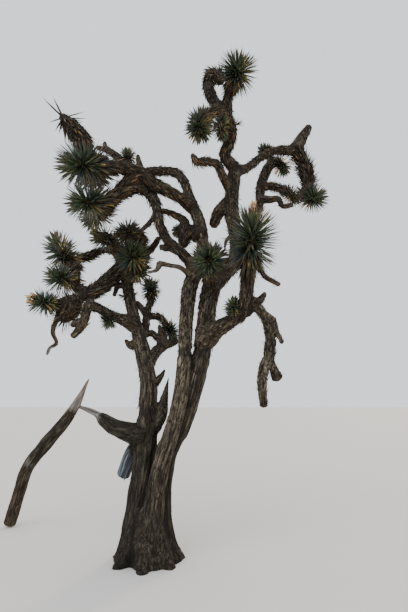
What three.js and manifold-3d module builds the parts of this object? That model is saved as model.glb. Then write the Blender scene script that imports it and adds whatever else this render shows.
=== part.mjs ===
// A joshua tree: three fused trunk stems, crooked limbs, and heads of dagger leaves at their tips.
// Millimetres, +Z up. The origin is the middle of the trunk where it is cut flat at the ground.
import * as THREE from "three";
import { mergeVertices } from "three/addons/utils/BufferGeometryUtils.js";
import Module from "manifold-3d";

const wasm = await Module();
wasm.setup();

// Fit and fineness
const GAP = 0.3; // clearance between two pieces that touch
const TRUNK_SIDES = 10;
const LIMB_SIDES = 7;
const TWIG_SIDES = 5;
const STEM_SIDES = 5;
const TOE_SIDES = 5;
const LIMB_RINGS_PER_BEND = 2;
const TWIG_RINGS_PER_BEND = 1;
const SEED = 41;

// Root flare of the trunk
const FLARE = 115; // how far each stem swells at the ground
const FLARE_HEIGHT = 200; // height over which the swelling fades
const TOE_COUNT = 7;
const TOE_REACH = 380; // from the middle of the trunk to a toe's tip
const TOE_TOP = 470; // height at which a toe leaves the trunk
const TOE_GIRTH = [230, 190, 110];
const TOE_LINE = [[0.12, 1], [0.5, 0.3], [1, -0.2]]; // its bends, as shares of its reach and of its top
const TOE_RINGS = 3;
const TOE_FIRST_BEARING = 12; // degrees
const EARTH_SIZE = 6000; // of the block that cuts the feet flat

// Dagger leaves
const LEAF_WIDTH = 50; // at its root; each stands for several real leaves
const LEAF_THICKNESS = 18;
const YOUNG_LEAF_ANGLE = 16; // degrees from the stem, at its tip
const OLD_LEAF_ANGLE = 132; // degrees from the stem, at the foot of the head
const LEAF_SWAY = 16; // degrees, the spread of its angle
const LEAF_SHIFT = 24; // degrees, the spread of its place round the stem
const LEAF_SHORTFALL = 0.16; // the most that one is shorter than the head's longest
const YOUNGEST_PLACE = 0.98; // share of the stem where the last leaf roots
const BURIED_SHARE = 0.2; // of a leaf's length, inside the heart of the head
const LEAF_CLEARANCE = 3; // from any other piece
const GOLDEN_ANGLE = 137.5; // degrees round the stem from one leaf to the next
// The dense heart of a head: places along its leafy stretch, and girths there as shares of a leaf's length
const HEART_PLACES = [0.25, 0.6, 0.9, 1];
const HEART_GIRTHS = [0.74, 0.82, 0.6, 0.16];

// Colours
const BARK = 0x6a5a48;
const DEAD_WOOD = 0x8c7f70;
const LEAF_GREEN = 0x55613f;
const DRY_LEAF = 0x9a7a4c;

// The three stems of the trunk, each from its foot to where it leaves the others
const LOBES = {
  left_lobe: {
    foot: [-110, 30, 0],
    girth: [265, 262, 245, 215],
    bends: [[10, 10, 500], [40, 30, 490], [0, 40, 440]],
  },
  front_lobe: {
    foot: [40, -80, 0],
    girth: [215, 195, 180, 170, 160, 155],
    bends: [[20, -20, 480], [60, -10, 390], [120, -10, 390], [80, 20, 360], [40, 20, 440]],
  },
  right_lobe: {
    foot: [120, 40, 0],
    girth: [245, 240, 240, 235, 235, 230, 230],
    bends: [[-20, 0, 500], [30, 0, 340], [40, 0, 190], [120, 0, 220], [130, 0, 370], [130, -20, 450]],
  },
};

// Limbs. A limb grows from a share of the way along another one; at 1 it goes on from its end.
// Each bend is the way to the next one: across, back and up. Girths are even along the limb.
const LIMBS = {
  left_stem: {
    from: ["left_lobe", 1], girth: [215, 200, 185, 140, 135, 175],
    bends: [[0, 50, 300], [-90, 90, 380], [-130, 90, 420], [-100, 60, 370], [-60, 20, 350]],
  },
  middle_stem: {
    from: ["front_lobe", 1], girth: [155, 155, 165, 175, 155],
    bends: [[10, 0, 320], [20, 10, 280], [30, 10, 200], [70, 40, 170]],
  },
  right_stem: {
    from: ["right_lobe", 1], girth: [225, 205, 210, 220],
    bends: [[40, -20, 320], [30, -10, 290], [50, 0, 190]],
  },
  leader: {
    from: ["right_stem", 1], girth: [235, 205, 165, 155, 180, 165, 160],
    bends: [[130, 50, 140], [140, 50, 180], [20, 30, 290], [-50, -10, 340], [10, -30, 280],
      [40, -40, 260]],
  },
  top_leader: {
    from: ["leader", 1], girth: [160, 135, 130, 125, 115, 110, 135],
    bends: [[-130, -70, 150], [50, -50, 140], [30, -60, 130], [-60, -100, 170], [10, -80, 170],
      [70, -80, 150]],
  },
  west_arm: {
    from: ["leader", 0.81], girth: [105, 95, 95, 90, 85, 50],
    bends: [[-120, -120, 160], [-70, -140, 70], [-140, -150, -50], [-100, -100, -60], [-50, -40, 60]],
  },
  east_arm: {
    from: ["leader", 0.985], girth: [125, 100, 95, 90, 110, 150],
    bends: [[160, 110, 110], [160, 130, 200], [180, 140, 200], [210, 140, 130], [240, 120, 50]],
  },
  east_drop: {
    from: ["east_arm", 1], girth: [150, 170, 175, 140],
    bends: [[90, 40, -160], [60, 20, -230], [-50, -10, -250]],
  },
  riser: {
    from: ["leader", 0.43], girth: [105, 105, 105, 115, 130, 135, 120],
    bends: [[140, 220, 240], [120, 160, 280], [110, 160, 320], [50, 150, 350], [110, 120, 320],
      [110, 80, 220]],
  },
  elbow_bough: {
    from: ["right_stem", 0.19], girth: [240, 175, 135, 150],
    bends: [[170, -160, 80], [140, -120, 70], [120, -110, 90]],
  },
  elbow_riser: {
    from: ["elbow_bough", 1], girth: [155, 140, 130, 125],
    bends: [[0, -90, 110], [10, -90, 130], [0, -90, 130]],
  },
  hanging_bough: {
    from: ["elbow_bough", 0.86], girth: [95, 95, 95, 105, 110, 105],
    bends: [[160, -70, 50], [80, -10, -100], [50, 0, -140], [0, 10, -160], [-20, 10, -150]],
  },
  left_leader: {
    from: ["middle_stem", 1], girth: [150, 140, 145, 145, 130, 110],
    bends: [[60, 50, 180], [0, 30, 250], [-50, 30, 260], [-90, 40, 240], [-90, 50, 310]],
  },
  arch_top: {
    from: ["left_leader", 1], girth: [110, 110, 105, 110, 120],
    bends: [[-100, 70, 160], [-140, 80, 80], [-200, 140, 80], [-220, 130, 50]],
  },
  upper_bough: {
    from: ["left_leader", 0.74], girth: [145, 125, 140, 150, 145, 130, 110],
    bends: [[-180, -100, 90], [-180, -110, 50], [-150, -120, 30], [-130, -130, 40], [-160, -150, -30],
      [-150, -130, -60]],
  },
  upper_spur: {
    from: ["arch_top", 1], girth: [150, 140, 110, 80, 60],
    bends: [[-170, 80, 140], [-160, 70, 190], [-180, 30, 150], [-150, 10, 40]],
  },
  middle_bough: {
    from: ["upper_bough", 0.66], girth: [120, 125, 125, 120],
    bends: [[-110, -50, -180], [-80, -80, -160], [-100, -80, -130]],
  },
  cross_bough: {
    from: ["middle_stem", 0.96], girth: [130, 115, 110, 100, 100, 110, 150],
    bends: [[-100, -60, 140], [-100, -70, 90], [-130, -40, 110], [-80, 0, 170], [-50, 30, 230],
      [-110, 140, 280]],
  },
  lower_bough: {
    from: ["cross_bough", 1], girth: [140, 130, 130, 135, 140],
    bends: [[-160, 120, 120], [-170, 130, 10], [-170, 120, -30], [-140, 90, -70]],
  },
  dead_arm: {
    from: ["middle_stem", 0.84], girth: [65, 55, 50, 60],
    bends: [[-130, -140, 80], [-130, -100, 0], [-100, -70, 0]],
  },
  bridge_limb: {
    from: ["left_stem", 0.97], girth: [110, 95, 80, 70, 60],
    bends: [[160, -20, 90], [130, -70, 80], [100, -70, 90], [50, -60, 60]],
  },
  falling_bough: {
    from: ["left_stem", 0.98], girth: [185, 190, 185, 160],
    bends: [[-130, -90, -160], [-130, -110, -170], [-140, -110, -130]],
  },
  low_arm: {
    from: ["left_stem", 0.57], girth: [190, 120, 100, 100, 105],
    bends: [[-170, -150, 30], [-100, -160, 30], [-90, -130, 40], [-70, -70, 10]],
  },
  drooping_arm: {
    from: ["low_arm", 1], girth: [105, 105, 90, 70],
    bends: [[-20, -30, -80], [-10, -20, -130], [-100, -30, -150]],
  },
  outer_riser: {
    from: ["falling_bough", 0.89], girth: [115, 105, 105, 120],
    bends: [[-170, 40, 80], [-50, 70, 160], [-20, 60, 150]],
  },
  outer_arm: {
    from: ["falling_bough", 1], girth: [115, 100, 90, 80],
    bends: [[-100, -80, -60], [-90, -90, -50], [-90, -80, -40]],
  },
  back_arm: {
    from: ["left_stem", 0.31], girth: [140, 130, 120, 75],
    bends: [[90, 160, 180], [90, 100, 100], [150, 120, 70]],
  },
  back_twig: {
    from: ["left_stem", 0.47], girth: [100, 95, 85, 78],
    bends: [[40, 130, 190], [10, 60, 190], [40, 50, 170]],
  },
  fallen_arm: {
    foot: [-810, 370, 1780], girth: [30, 100, 130, 150, 150, 145, 150],
    bends: [[-100, 20, -220], [-140, 50, -220], [-250, 120, -270], [-310, 240, -330],
      [-150, 180, -320], [-120, 90, -380]],
  },
  low_bough: {
    from: ["left_lobe", 0.8], girth: [215, 190, 175, 140, 75, 60, 40],
    bends: [[-220, 20, 60], [-150, 80, 40], [-150, 70, 80], [-80, 40, 50], [-120, 50, 50],
      [-130, 50, 40]],
  },
};

// Broken ends and thin twigs, each of a piece with the limb that carries it
const TWIGS = {
  broken_snag: {
    from: ["left_lobe", 0.84], girth: [200, 150, 95, 20],
    bends: [[140, 40, 170], [40, 0, 170], [40, -10, 200]],
  },
  bleached_stub: {
    from: ["left_lobe", 0.74], girth: [150, 165, 150],
    bends: [[-150, 110, -80], [-120, 70, -260]],
  },
  west_stub: {
    from: ["leader", 0.76], girth: [130, 145, 110],
    bends: [[-150, 70, -130], [-80, 50, -170]],
  },
  riser_hook: {
    from: ["riser", 0.55], girth: [110, 90, 70, 68],
    bends: [[130, -100, -60], [90, -60, -20], [60, -30, -120], [120, -40, 0]],
  },
  thin_arm: {
    from: ["elbow_riser", 0.84], girth: [55, 50, 50],
    bends: [[90, -30, 70], [70, -30, -110], [140, -10, -90]],
  },
  elbow_stub: {
    from: ["elbow_riser", 0.26], girth: [95, 85, 45],
    bends: [[120, 20, -20], [90, 30, 100]],
  },
  hanging_twig: {
    from: ["hanging_bough", 0.35], girth: [70, 50, 45],
    bends: [[100, -30, -70], [30, -10, -110], [50, 0, -130]],
  },
  fork_left: {
    from: ["hanging_bough", 0.97], girth: [90, 100, 95, 80],
    bends: [[-50, 0, -100], [-30, -20, -140], [10, -10, -230]],
  },
  fork_right: {
    from: ["hanging_bough", 0.97], girth: [70, 65, 110],
    bends: [[40, 30, -80], [50, 20, -120]],
  },
  crooked_twig: {
    from: ["outer_arm", 0.69], girth: [80, 60, 45, 40, 35],
    bends: [[-30, 0, -150], [-40, -20, -200], [50, 0, -120], [-70, -10, -60], [-20, 0, -70]],
  },
  beak: {
    from: ["left_stem", 0.47], girth: [110, 95, 30],
    bends: [[-90, -50, -70], [-70, -40, 60]],
  },
  hook_stub: {
    from: ["left_stem", 0.83], girth: [75, 60, 50],
    bends: [[-110, -30, -10], [-40, -30, -130]],
  },
  spur_top: {
    from: ["upper_spur", 0.6], girth: [85, 70, 35],
    bends: [[-130, -10, 120], [-10, 0, 80]],
  },
  arch_stub: {
    from: ["arch_top", 0.95], girth: [95, 75, 45],
    bends: [[-50, 40, 190], [-20, 0, 110]],
  },
  thin_drop: {
    from: ["cross_bough", 0.81], girth: [65, 50, 50],
    bends: [[-60, -20, -140], [-110, -30, -140]],
  },
  cross_stub: {
    from: ["cross_bough", 0.3], girth: [90, 75, 65],
    bends: [[-120, 0, 40], [-110, 0, 10]],
  },
  dead_hook: {
    from: ["dead_arm", 0.96], girth: [60, 45, 25],
    bends: [[-30, -20, -80], [-90, -20, -40]],
  },
  back_stub: {
    from: ["back_arm", 0.6], girth: [120, 105, 28],
    bends: [[-10, 20, 160], [-40, -10, 110]],
  },
  east_horn: {
    from: ["east_arm", 0.97], girth: [165, 160, 95],
    bends: [[110, 40, 220], [130, 10, 220]],
  },
  dead_rosette: {
    from: ["outer_arm", 0.35], girth: [130, 230, 240, 110],
    bends: [[-10, -40, -80], [-20, -20, -80], [-50, -10, -100]],
  },
  arm_lump: {
    from: ["drooping_arm", 0.6], girth: [75, 70, 50],
    bends: [[-100, 0, -30], [-40, 0, -20]],
  },
  curl_drop: {
    from: ["curled_head", 0.6], girth: [120, 140, 95],
    bends: [[10, -50, -140], [-20, -10, -100]],
  },
  curl_arm: {
    from: ["curled_head", 0.62], girth: [115, 95, 80, 60],
    bends: [[10, 20, 120], [-130, 50, 110], [-160, 50, 90]],
  },
  cross_twig: {
    from: ["back_twig", 0.6], girth: [75, 68, 60],
    bends: [[-80, -10, 100], [-50, -10, 60]],
  },
  back_brace: {
    from: ["back_twig", 0.12], girth: [80, 75, 70],
    bends: [[110, 100, 30], [100, 20, -90]],
  },
  leader_twig: {
    from: ["leader", 0.53], girth: [60, 40, 25],
    bends: [[-110, -50, -100], [-30, -40, -130]],
  },
  inner_spur: {
    from: ["left_stem", 0.16], girth: [90, 65, 20],
    bends: [[130, 10, 150], [50, -10, 80]],
  },
};

// Foliage heads: a short stem, and dagger leaves on it from a share of its length to its tip
const HEADS = {
  top_head: {
    from: ["top_leader", 1], girth: [125, 100], bends: [[30, -40, 50], [20, -40, 60]],
    leaf: 285, count: 24, leafy: 0.3,
  },
  cap_head: {
    from: ["top_leader", 0.69], girth: [115, 130, 135, 125, 110, 120, 100],
    bends: [[-120, 50, 110], [-80, 70, 230], [-20, 40, 210], [30, 0, 110], [90, -30, -50],
      [30, -30, -130]],
    leaf: 150, count: 11, leafy: 0.75, dry: true,
  },
  west_head: {
    from: ["top_leader", 0.65], girth: [100, 90, 90, 85, 75],
    bends: [[-180, -90, -30], [-100, -80, -130], [-60, -40, -140], [10, -30, -120]],
    leaf: 200, count: 20, leafy: 0.6,
  },
  hanging_tuft: {
    from: ["top_leader", 0.6], girth: [85, 70], bends: [[-100, -70, -80], [10, -40, -210]],
    leaf: 150, count: 9, leafy: 0.5,
  },
  arm_tuft: {
    from: ["east_arm", 0.56], girth: [95, 70], bends: [[10, 110, 90], [-10, 60, 80]],
    leaf: 130, count: 12, leafy: 0.55,
  },
  riser_head: {
    from: ["riser", 1], girth: [115, 90], bends: [[110, 10, -40], [50, -20, -120]],
    leaf: 185, count: 13, leafy: 0.3,
  },
  riser_arm: {
    from: ["riser", 0.67], girth: [105, 95, 85, 75],
    bends: [[160, -110, -60], [150, -100, -120], [120, -60, -170]],
    leaf: 150, count: 12, leafy: 0.72,
  },
  east_head: {
    from: ["east_drop", 1], girth: [140, 105], bends: [[60, -30, -80], [70, -60, -10]],
    leaf: 240, count: 19, leafy: 0.3,
  },
  great_head: {
    from: ["elbow_riser", 1], girth: [125, 120, 105, 70],
    bends: [[10, -80, 130], [10, -70, 120], [10, -50, 110]],
    leaf: 325, count: 29, leafy: 0.25,
  },
  front_head: {
    from: ["right_stem", 0.91], girth: [125, 115, 100, 80],
    bends: [[-10, -210, 100], [-20, -210, 70], [0, -70, 0]],
    leaf: 260, count: 22, leafy: 0.6,
  },
  elbow_tuft: {
    from: ["elbow_bough", 0.74], girth: [65, 50], bends: [[-20, -70, 70], [-10, -50, 30]],
    leaf: 140, count: 9, leafy: 0.6,
  },
  left_head: {
    from: ["upper_bough", 1], girth: [110, 85], bends: [[-130, -100, -60], [-120, -80, -50]],
    leaf: 290, count: 24, leafy: 0.3,
  },
  side_head: {
    from: ["upper_bough", 0.86], girth: [90, 90, 80], bends: [[-220, 90, 0], [-130, 90, 10]],
    leaf: 260, count: 16, leafy: 0.55,
  },
  left_plume: {
    from: ["upper_bough", 0.97], girth: [150, 185, 195, 160, 80],
    bends: [[-200, -50, 70], [-40, -40, 160], [-100, -30, 140], [-120, -20, 130]],
    leaf: 230, count: 15, leafy: 0.5, dry: true,
  },
  middle_head: {
    from: ["middle_bough", 1], girth: [115, 85], bends: [[-120, -80, -50], [-100, -60, -30]],
    leaf: 255, count: 19, leafy: 0.3,
  },
  lower_head: {
    from: ["lower_bough", 1], girth: [140, 105], bends: [[-110, 70, -70], [-100, 50, -60]],
    leaf: 265, count: 20, leafy: 0.3,
  },
  upper_tuft: {
    from: ["upper_spur", 0.3], girth: [80, 70], bends: [[30, -10, 80], [-20, 0, 100]],
    leaf: 150, count: 9, leafy: 0.6,
  },
  hooked_head: {
    from: ["left_stem", 1], girth: [165, 135, 120, 120, 130, 120, 95],
    bends: [[140, -40, 130], [40, -50, 60], [50, -60, 60], [-40, -90, 60], [-80, -90, -10],
      [-80, -70, -70]],
    leaf: 190, count: 15, leafy: 0.8,
  },
  front_stem_head: {
    from: ["left_stem", 0.97], girth: [125, 110, 90], bends: [[110, -190, 20], [50, -150, 50]],
    leaf: 285, count: 18, leafy: 0.65,
  },
  side_stem_head: {
    from: ["left_stem", 0.86], girth: [115, 100, 85], bends: [[100, -120, 110], [70, -80, -10]],
    leaf: 210, count: 15, leafy: 0.6,
  },
  knobby_head: {
    from: ["left_stem", 0.99], girth: [130, 130, 135, 145, 110],
    bends: [[-90, -80, 170], [-60, -80, 90], [-80, -70, 20], [-80, -60, -10]],
    leaf: 185, count: 11, leafy: 0.45,
  },
  ragged_head: {
    from: ["left_stem", 0.98], girth: [85, 75, 75, 110, 120],
    bends: [[-180, 100, 230], [-160, 70, 60], [-180, 50, -60], [-170, 20, -40]],
    leaf: 140, count: 10, leafy: 0.75, dry: true,
  },
  outer_great_head: {
    from: ["outer_riser", 1], girth: [120, 115, 110, 80],
    bends: [[-130, 60, 90], [-110, 50, 140], [-90, 40, 140]],
    leaf: 255, count: 22, leafy: 0.3,
  },
  outer_side_head: {
    from: ["outer_riser", 0.53], girth: [95, 80], bends: [[-80, -110, 0], [-90, -70, 0]],
    leaf: 240, count: 16, leafy: 0.5,
  },
  outer_arm_head: {
    from: ["outer_arm", 1], girth: [80, 80, 60], bends: [[-50, -70, -10], [-60, -60, 10]],
    leaf: 180, count: 14, leafy: 0.2,
  },
  low_arm_tuft: {
    from: ["low_arm", 0.46], girth: [70, 60], bends: [[-10, 20, -50], [0, 20, -40]],
    leaf: 140, count: 8, leafy: 0.6,
  },
  inner_head: {
    from: ["back_twig", 1], girth: [80, 90, 80], bends: [[-10, 30, 120], [-10, 20, 100]],
    leaf: 165, count: 13, leafy: 0.4,
  },
  back_head: {
    from: ["back_twig", 0.57], girth: [75, 70, 65, 70],
    bends: [[150, 60, 0], [100, 50, -110], [70, 30, -120]],
    leaf: 165, count: 13, leafy: 0.75,
  },
  curled_head: {
    from: ["left_leader", 0.42], girth: [150, 175, 150, 70],
    bends: [[-160, 110, 100], [-80, -40, 10], [-80, -30, -50]],
    leaf: 105, count: 12, leafy: 0.72,
  },
};

const SPECS = { ...LOBES, ...LIMBS, ...TWIGS, ...HEADS };

// A repeatable run of numbers from 0 to 1
function seededNumbers(seed) {
  let state = seed;
  return () => {
    state = (state * 1664525 + 1013904223) % 4294967296;
    return state / 4294967296;
  };
}

function vector(list) {
  return new THREE.Vector3(...list);
}

// A value from a short list that is even along the way from 0 to 1
function along(list, share) {
  const place = share * (list.length - 1);
  const index = Math.min(Math.floor(place), list.length - 2);
  return THREE.MathUtils.lerp(list[index], list[index + 1], place - index);
}

// The line of a limb, through all its bends
const curves = {};
function curveOf(name) {
  if (!curves[name]) {
    const spec = SPECS[name];
    const points = [spec.foot ? vector(spec.foot) : curveOf(spec.from[0]).getPoint(spec.from[1])];
    for (const bend of spec.bends) {
      points.push(points.at(-1).clone().add(vector(bend)));
    }
    curves[name] = new THREE.CatmullRomCurve3(points);
  }
  return curves[name];
}

// The direction across a line that a ring starts from, turned as little as possible from the last one
function crosswise(tangent, last) {
  const start = last ?? new THREE.Vector3(0, 1, 0);
  const across = start.clone().addScaledVector(tangent, -start.dot(tangent));
  if (across.length() < 0.1) {
    return crosswise(tangent, new THREE.Vector3(1, 0, 0));
  }
  return across.normalize();
}

// Even places along a limb and its girth at each
function evenRings(spec, steps, end = 1) {
  const rings = [];
  for (let step = 0; step <= steps; step += 1) {
    const share = (end * step) / steps;
    rings.push({ share, radius: along(spec.girth, share) / 2 });
  }
  return rings;
}

// A head has its bare stem first, and then the dense heart that its leaves stand out of
function headRings(spec) {
  const stem = evenRings(spec, Math.ceil(spec.bends.length * spec.leafy), spec.leafy);
  const heart = HEART_PLACES.map((place, index) => ({
    share: THREE.MathUtils.lerp(spec.leafy, 1, place),
    radius: (spec.leaf * HEART_GIRTHS[index]) / 2,
  }));
  return [...stem, ...heart];
}

function ringPlan(name) {
  const spec = SPECS[name];
  if (name in HEADS) {
    return headRings(spec);
  }
  return evenRings(spec, spec.bends.length * (name in TWIGS ? TWIG_RINGS_PER_BEND : LIMB_RINGS_PER_BEND));
}

// The rings of a limb: where each stands, which way it faces and how thick the limb is there.
// A limb that goes on from another's end starts on the same plane as that end, a gap beyond it.
function ringsOf(name) {
  const spec = SPECS[name];
  const curve = curveOf(name);
  const goesOn = spec.from && spec.from[1] === 1;
  const last = goesOn ? ringsOf(spec.from[0]).at(-1) : null;
  const rings = ringPlan(name);
  rings.forEach((ring, index) => {
    ring.point = curve.getPoint(ring.share);
    ring.tangent = curve.getTangent(ring.share);
    if (index === 0 && goesOn) {
      ring.tangent = last.tangent;
      ring.point.addScaledVector(ring.tangent, GAP);
    }
    ring.across = crosswise(ring.tangent, index === 0 ? last?.across : rings[index - 1].across);
  });
  return rings;
}

// Swells the feet of the trunk's stems towards the ground
function flare(rings) {
  for (const ring of rings) {
    ring.radius += FLARE * Math.exp(-ring.point.z / FLARE_HEIGHT);
  }
  return rings;
}

function solidFrom(geometry) {
  geometry.deleteAttribute("normal");
  geometry.deleteAttribute("uv");
  const merged = mergeVertices(geometry, 1e-4);
  return new wasm.Manifold(new wasm.Mesh({
    numProp: 3,
    vertProperties: new Float32Array(merged.attributes.position.array),
    triVerts: new Uint32Array(merged.index.array),
  }));
}

// The same ring a little further along its own line
function shifted(ring, way) {
  return { ...ring, point: ring.point.clone().addScaledVector(ring.tangent, way) };
}

// A closed tube through its rings, made thicker and longer all round by grow
function tube(ownRings, sides, grow = 0) {
  const positions = [];
  const faces = [];
  const rings = [...ownRings];
  if (grow) {
    rings.unshift(shifted(ownRings[0], -grow));
    rings.push(shifted(ownRings.at(-1), grow));
  }
  rings.forEach((ring) => {
    const side = new THREE.Vector3().crossVectors(ring.tangent, ring.across);
    for (let i = 0; i < sides; i += 1) {
      const turn = (2 * Math.PI * i) / sides;
      const radius = ring.radius + grow / Math.cos(Math.PI / sides);
      const point = ring.point.clone()
        .addScaledVector(ring.across, radius * Math.cos(turn))
        .addScaledVector(side, radius * Math.sin(turn));
      positions.push(...point);
    }
  });
  for (let r = 0; r < rings.length - 1; r += 1) {
    for (let i = 0; i < sides; i += 1) {
      const a = r * sides + i;
      const b = r * sides + ((i + 1) % sides);
      faces.push(a, b, b + sides, a, b + sides, a + sides);
    }
  }
  const tip = (rings.length - 1) * sides;
  for (let i = 1; i < sides - 1; i += 1) {
    faces.push(0, i + 1, i);
    faces.push(tip, tip + i, tip + i + 1);
  }
  const geometry = new THREE.BufferGeometry();
  geometry.setAttribute("position", new THREE.Float32BufferAttribute(positions, 3));
  geometry.setIndex(faces);
  return solidFrom(geometry);
}

// One toe of the root flare, from the trunk down and out to the ground
function toeRings(index) {
  const bearing = THREE.MathUtils.degToRad(TOE_FIRST_BEARING + (360 / TOE_COUNT) * index);
  const out = new THREE.Vector3(Math.cos(bearing), Math.sin(bearing), 0);
  const curve = new THREE.CatmullRomCurve3(TOE_LINE.map(([reach, height]) => (
    out.clone().multiplyScalar(TOE_REACH * reach).setZ(TOE_TOP * height))));
  const rings = [];
  for (let ring = 0; ring <= TOE_RINGS; ring += 1) {
    const share = ring / TOE_RINGS;
    const tangent = curve.getTangent(share);
    rings.push({
      point: curve.getPoint(share),
      tangent,
      across: crosswise(tangent, rings.at(-1)?.across),
      radius: along(TOE_GIRTH, share) / 2,
    });
  }
  return rings;
}

// A block of earth to cut the trunk and the fallen arm's foot flat with
function belowGround() {
  const block = new THREE.BoxGeometry(EARTH_SIZE, EARTH_SIZE, EARTH_SIZE);
  block.translate(0, 0, -EARTH_SIZE / 2);
  return solidFrom(block);
}

const ground = belowGround();

// The biggest single body of a solid, so that no loose scrap is left
function biggest(solid) {
  const bodies = solid.decompose();
  return bodies.reduce((best, body) => (body.volume() > best.volume() ? body : best));
}

function join(solids) {
  return solids.reduce((whole, solid) => whole.add(solid));
}

function trunkSolid(grow) {
  const stems = Object.keys(LOBES).map((name) => tube(flare(ringsOf(name)), TRUNK_SIDES, grow));
  const toes = [];
  for (let index = 0; index < TOE_COUNT; index += 1) {
    toes.push(tube(toeRings(index), TOE_SIDES, grow));
  }
  return join([...stems, ...toes]);
}

function twigsOn(carriers) {
  return Object.keys(TWIGS).filter((name) => carriers.includes(TWIGS[name].from[0]));
}

function limbSolid(name, grow) {
  const carriers = name === "trunk" ? Object.keys(LOBES) : [name];
  const main = name === "trunk" ? trunkSolid(grow) : tube(ringsOf(name), LIMB_SIDES, grow);
  const twigs = twigsOn(carriers).map((twig) => tube(ringsOf(twig), TWIG_SIDES, grow));
  return join([main, ...twigs]).subtract(ground);
}

function headStem(name, grow) {
  const twigs = twigsOn([name]).map((twig) => tube(ringsOf(twig), TWIG_SIDES, grow));
  return join([tube(ringsOf(name), STEM_SIDES, grow), ...twigs]);
}

// Straight stretches of what is already in place, for the leaves to keep clear of
const taken = [];
function take(owner, rings) {
  for (let i = 1; i < rings.length; i += 1) {
    const radius = Math.max(rings[i - 1].radius, rings[i].radius);
    taken.push({ owner, start: rings[i - 1].point, end: rings[i].point, radius });
  }
}

// The shortest distance between two straight stretches
function distanceBetween(a, b, c, d) {
  const ab = b.clone().sub(a);
  const cd = d.clone().sub(c);
  const ac = a.clone().sub(c);
  const aa = ab.dot(ab);
  const cc = cd.dot(cd);
  const mixed = ab.dot(cd);
  const fore = cd.dot(ac);
  const back = ab.dot(ac);
  const spread = aa * cc - mixed * mixed;
  const clamp = THREE.MathUtils.clamp;
  let s = spread > 1e-6 ? clamp((mixed * fore - back * cc) / spread, 0, 1) : 0;
  const t = clamp((mixed * s + fore) / cc, 0, 1);
  s = clamp((mixed * t - back) / aa, 0, 1);
  return a.clone().addScaledVector(ab, s).distanceTo(c.clone().addScaledVector(cd, t));
}

function isFree(owner, start, end, radius) {
  return taken.every((other) => other.owner === owner
    || distanceBetween(start, end, other.start, other.end) > radius + other.radius + LEAF_CLEARANCE);
}

// A dagger leaf: a slim four-sided spike, broad and flat where it roots in the stem
function leafSolid(root, tip, stemLine) {
  const way = tip.clone().sub(root).normalize();
  const flat = new THREE.Vector3().crossVectors(way, stemLine).normalize();
  const thick = new THREE.Vector3().crossVectors(flat, way);
  const corners = [
    root.clone().addScaledVector(flat, LEAF_WIDTH / 2),
    root.clone().addScaledVector(thick, LEAF_THICKNESS / 2),
    root.clone().addScaledVector(flat, -LEAF_WIDTH / 2),
    root.clone().addScaledVector(thick, -LEAF_THICKNESS / 2),
    tip,
  ];
  const faces = [0, 1, 2, 0, 2, 3];
  for (let i = 0; i < 4; i += 1) {
    faces.push(i, 4, (i + 1) % 4);
  }
  const geometry = new THREE.BufferGeometry();
  geometry.setAttribute("position", new THREE.Float32BufferAttribute(corners.flatMap((c) => [...c]), 3));
  geometry.setIndex(faces);
  return solidFrom(geometry);
}

// Leaves in a spiral down the head: young ones stand up round the tip, old ones bend back at its foot
function leavesOf(name, random) {
  const spec = HEADS[name];
  const curve = curveOf(name);
  const leaves = [];
  for (let i = 0; i < spec.count; i += 1) {
    const age = i / (spec.count - 1);
    const share = THREE.MathUtils.lerp(YOUNGEST_PLACE, spec.leafy, age);
    const root = curve.getPoint(share);
    const stemLine = curve.getTangent(share);
    const lean = THREE.MathUtils.lerp(YOUNG_LEAF_ANGLE, OLD_LEAF_ANGLE, age ** 0.8)
      + LEAF_SWAY * (random() - 0.5);
    const turn = GOLDEN_ANGLE * i + LEAF_SHIFT * (random() - 0.5);
    const length = spec.leaf * (1 - LEAF_SHORTFALL * random());
    const out = crosswise(stemLine).applyAxisAngle(stemLine, THREE.MathUtils.degToRad(turn));
    const leanRadians = THREE.MathUtils.degToRad(lean);
    const way = stemLine.clone().multiplyScalar(Math.cos(leanRadians))
      .addScaledVector(out, Math.sin(leanRadians));
    const tip = root.clone().addScaledVector(way, length);
    const outer = root.clone().addScaledVector(way, length * BURIED_SHARE);
    if (tip.z > LEAF_WIDTH && isFree(name, outer, tip, LEAF_WIDTH / 2)) {
      leaves.push({ start: root, end: tip, stemLine });
    }
  }
  for (const leaf of leaves) {
    taken.push({ owner: name, start: leaf.start, end: leaf.end, radius: LEAF_WIDTH / 2 });
  }
  return leaves;
}

function meshFrom(name, solid, colour) {
  const { vertProperties, triVerts } = solid.getMesh();
  const geometry = new THREE.BufferGeometry();
  geometry.setAttribute("position", new THREE.BufferAttribute(vertProperties, 3));
  geometry.setIndex(new THREE.BufferAttribute(triVerts, 1));
  geometry.computeVertexNormals();
  const material = new THREE.MeshStandardMaterial({ color: colour, roughness: 0.9, metalness: 0 });
  const mesh = new THREE.Mesh(geometry, material);
  mesh.name = name;
  return mesh;
}

// Everything already built, a gap larger all round, to cut the next piece clear of
const placed = [];
function cutClear(solid) {
  const box = solid.boundingBox();
  let clear = solid;
  for (const other of placed) {
    const apart = box.min.some((low, axis) => low > other.box.max[axis])
      || box.max.some((high, axis) => high < other.box.min[axis]);
    if (!apart) {
      clear = clear.subtract(other.solid);
    }
  }
  return biggest(clear);
}

function place(grown) {
  placed.push({ solid: grown, box: grown.boundingBox() });
}

const tree = new THREE.Group();

const limbNames = ["trunk", ...Object.keys(LIMBS)];
for (const name of limbNames) {
  const carriers = name === "trunk" ? Object.keys(LOBES) : [name];
  const solid = cutClear(limbSolid(name, 0));
  place(limbSolid(name, GAP));
  for (const piece of [...carriers, ...twigsOn(carriers)]) {
    take(piece, ringsOf(piece));
  }
  tree.add(meshFrom(name, solid, name === "fallen_arm" ? DEAD_WOOD : BARK));
}

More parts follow.
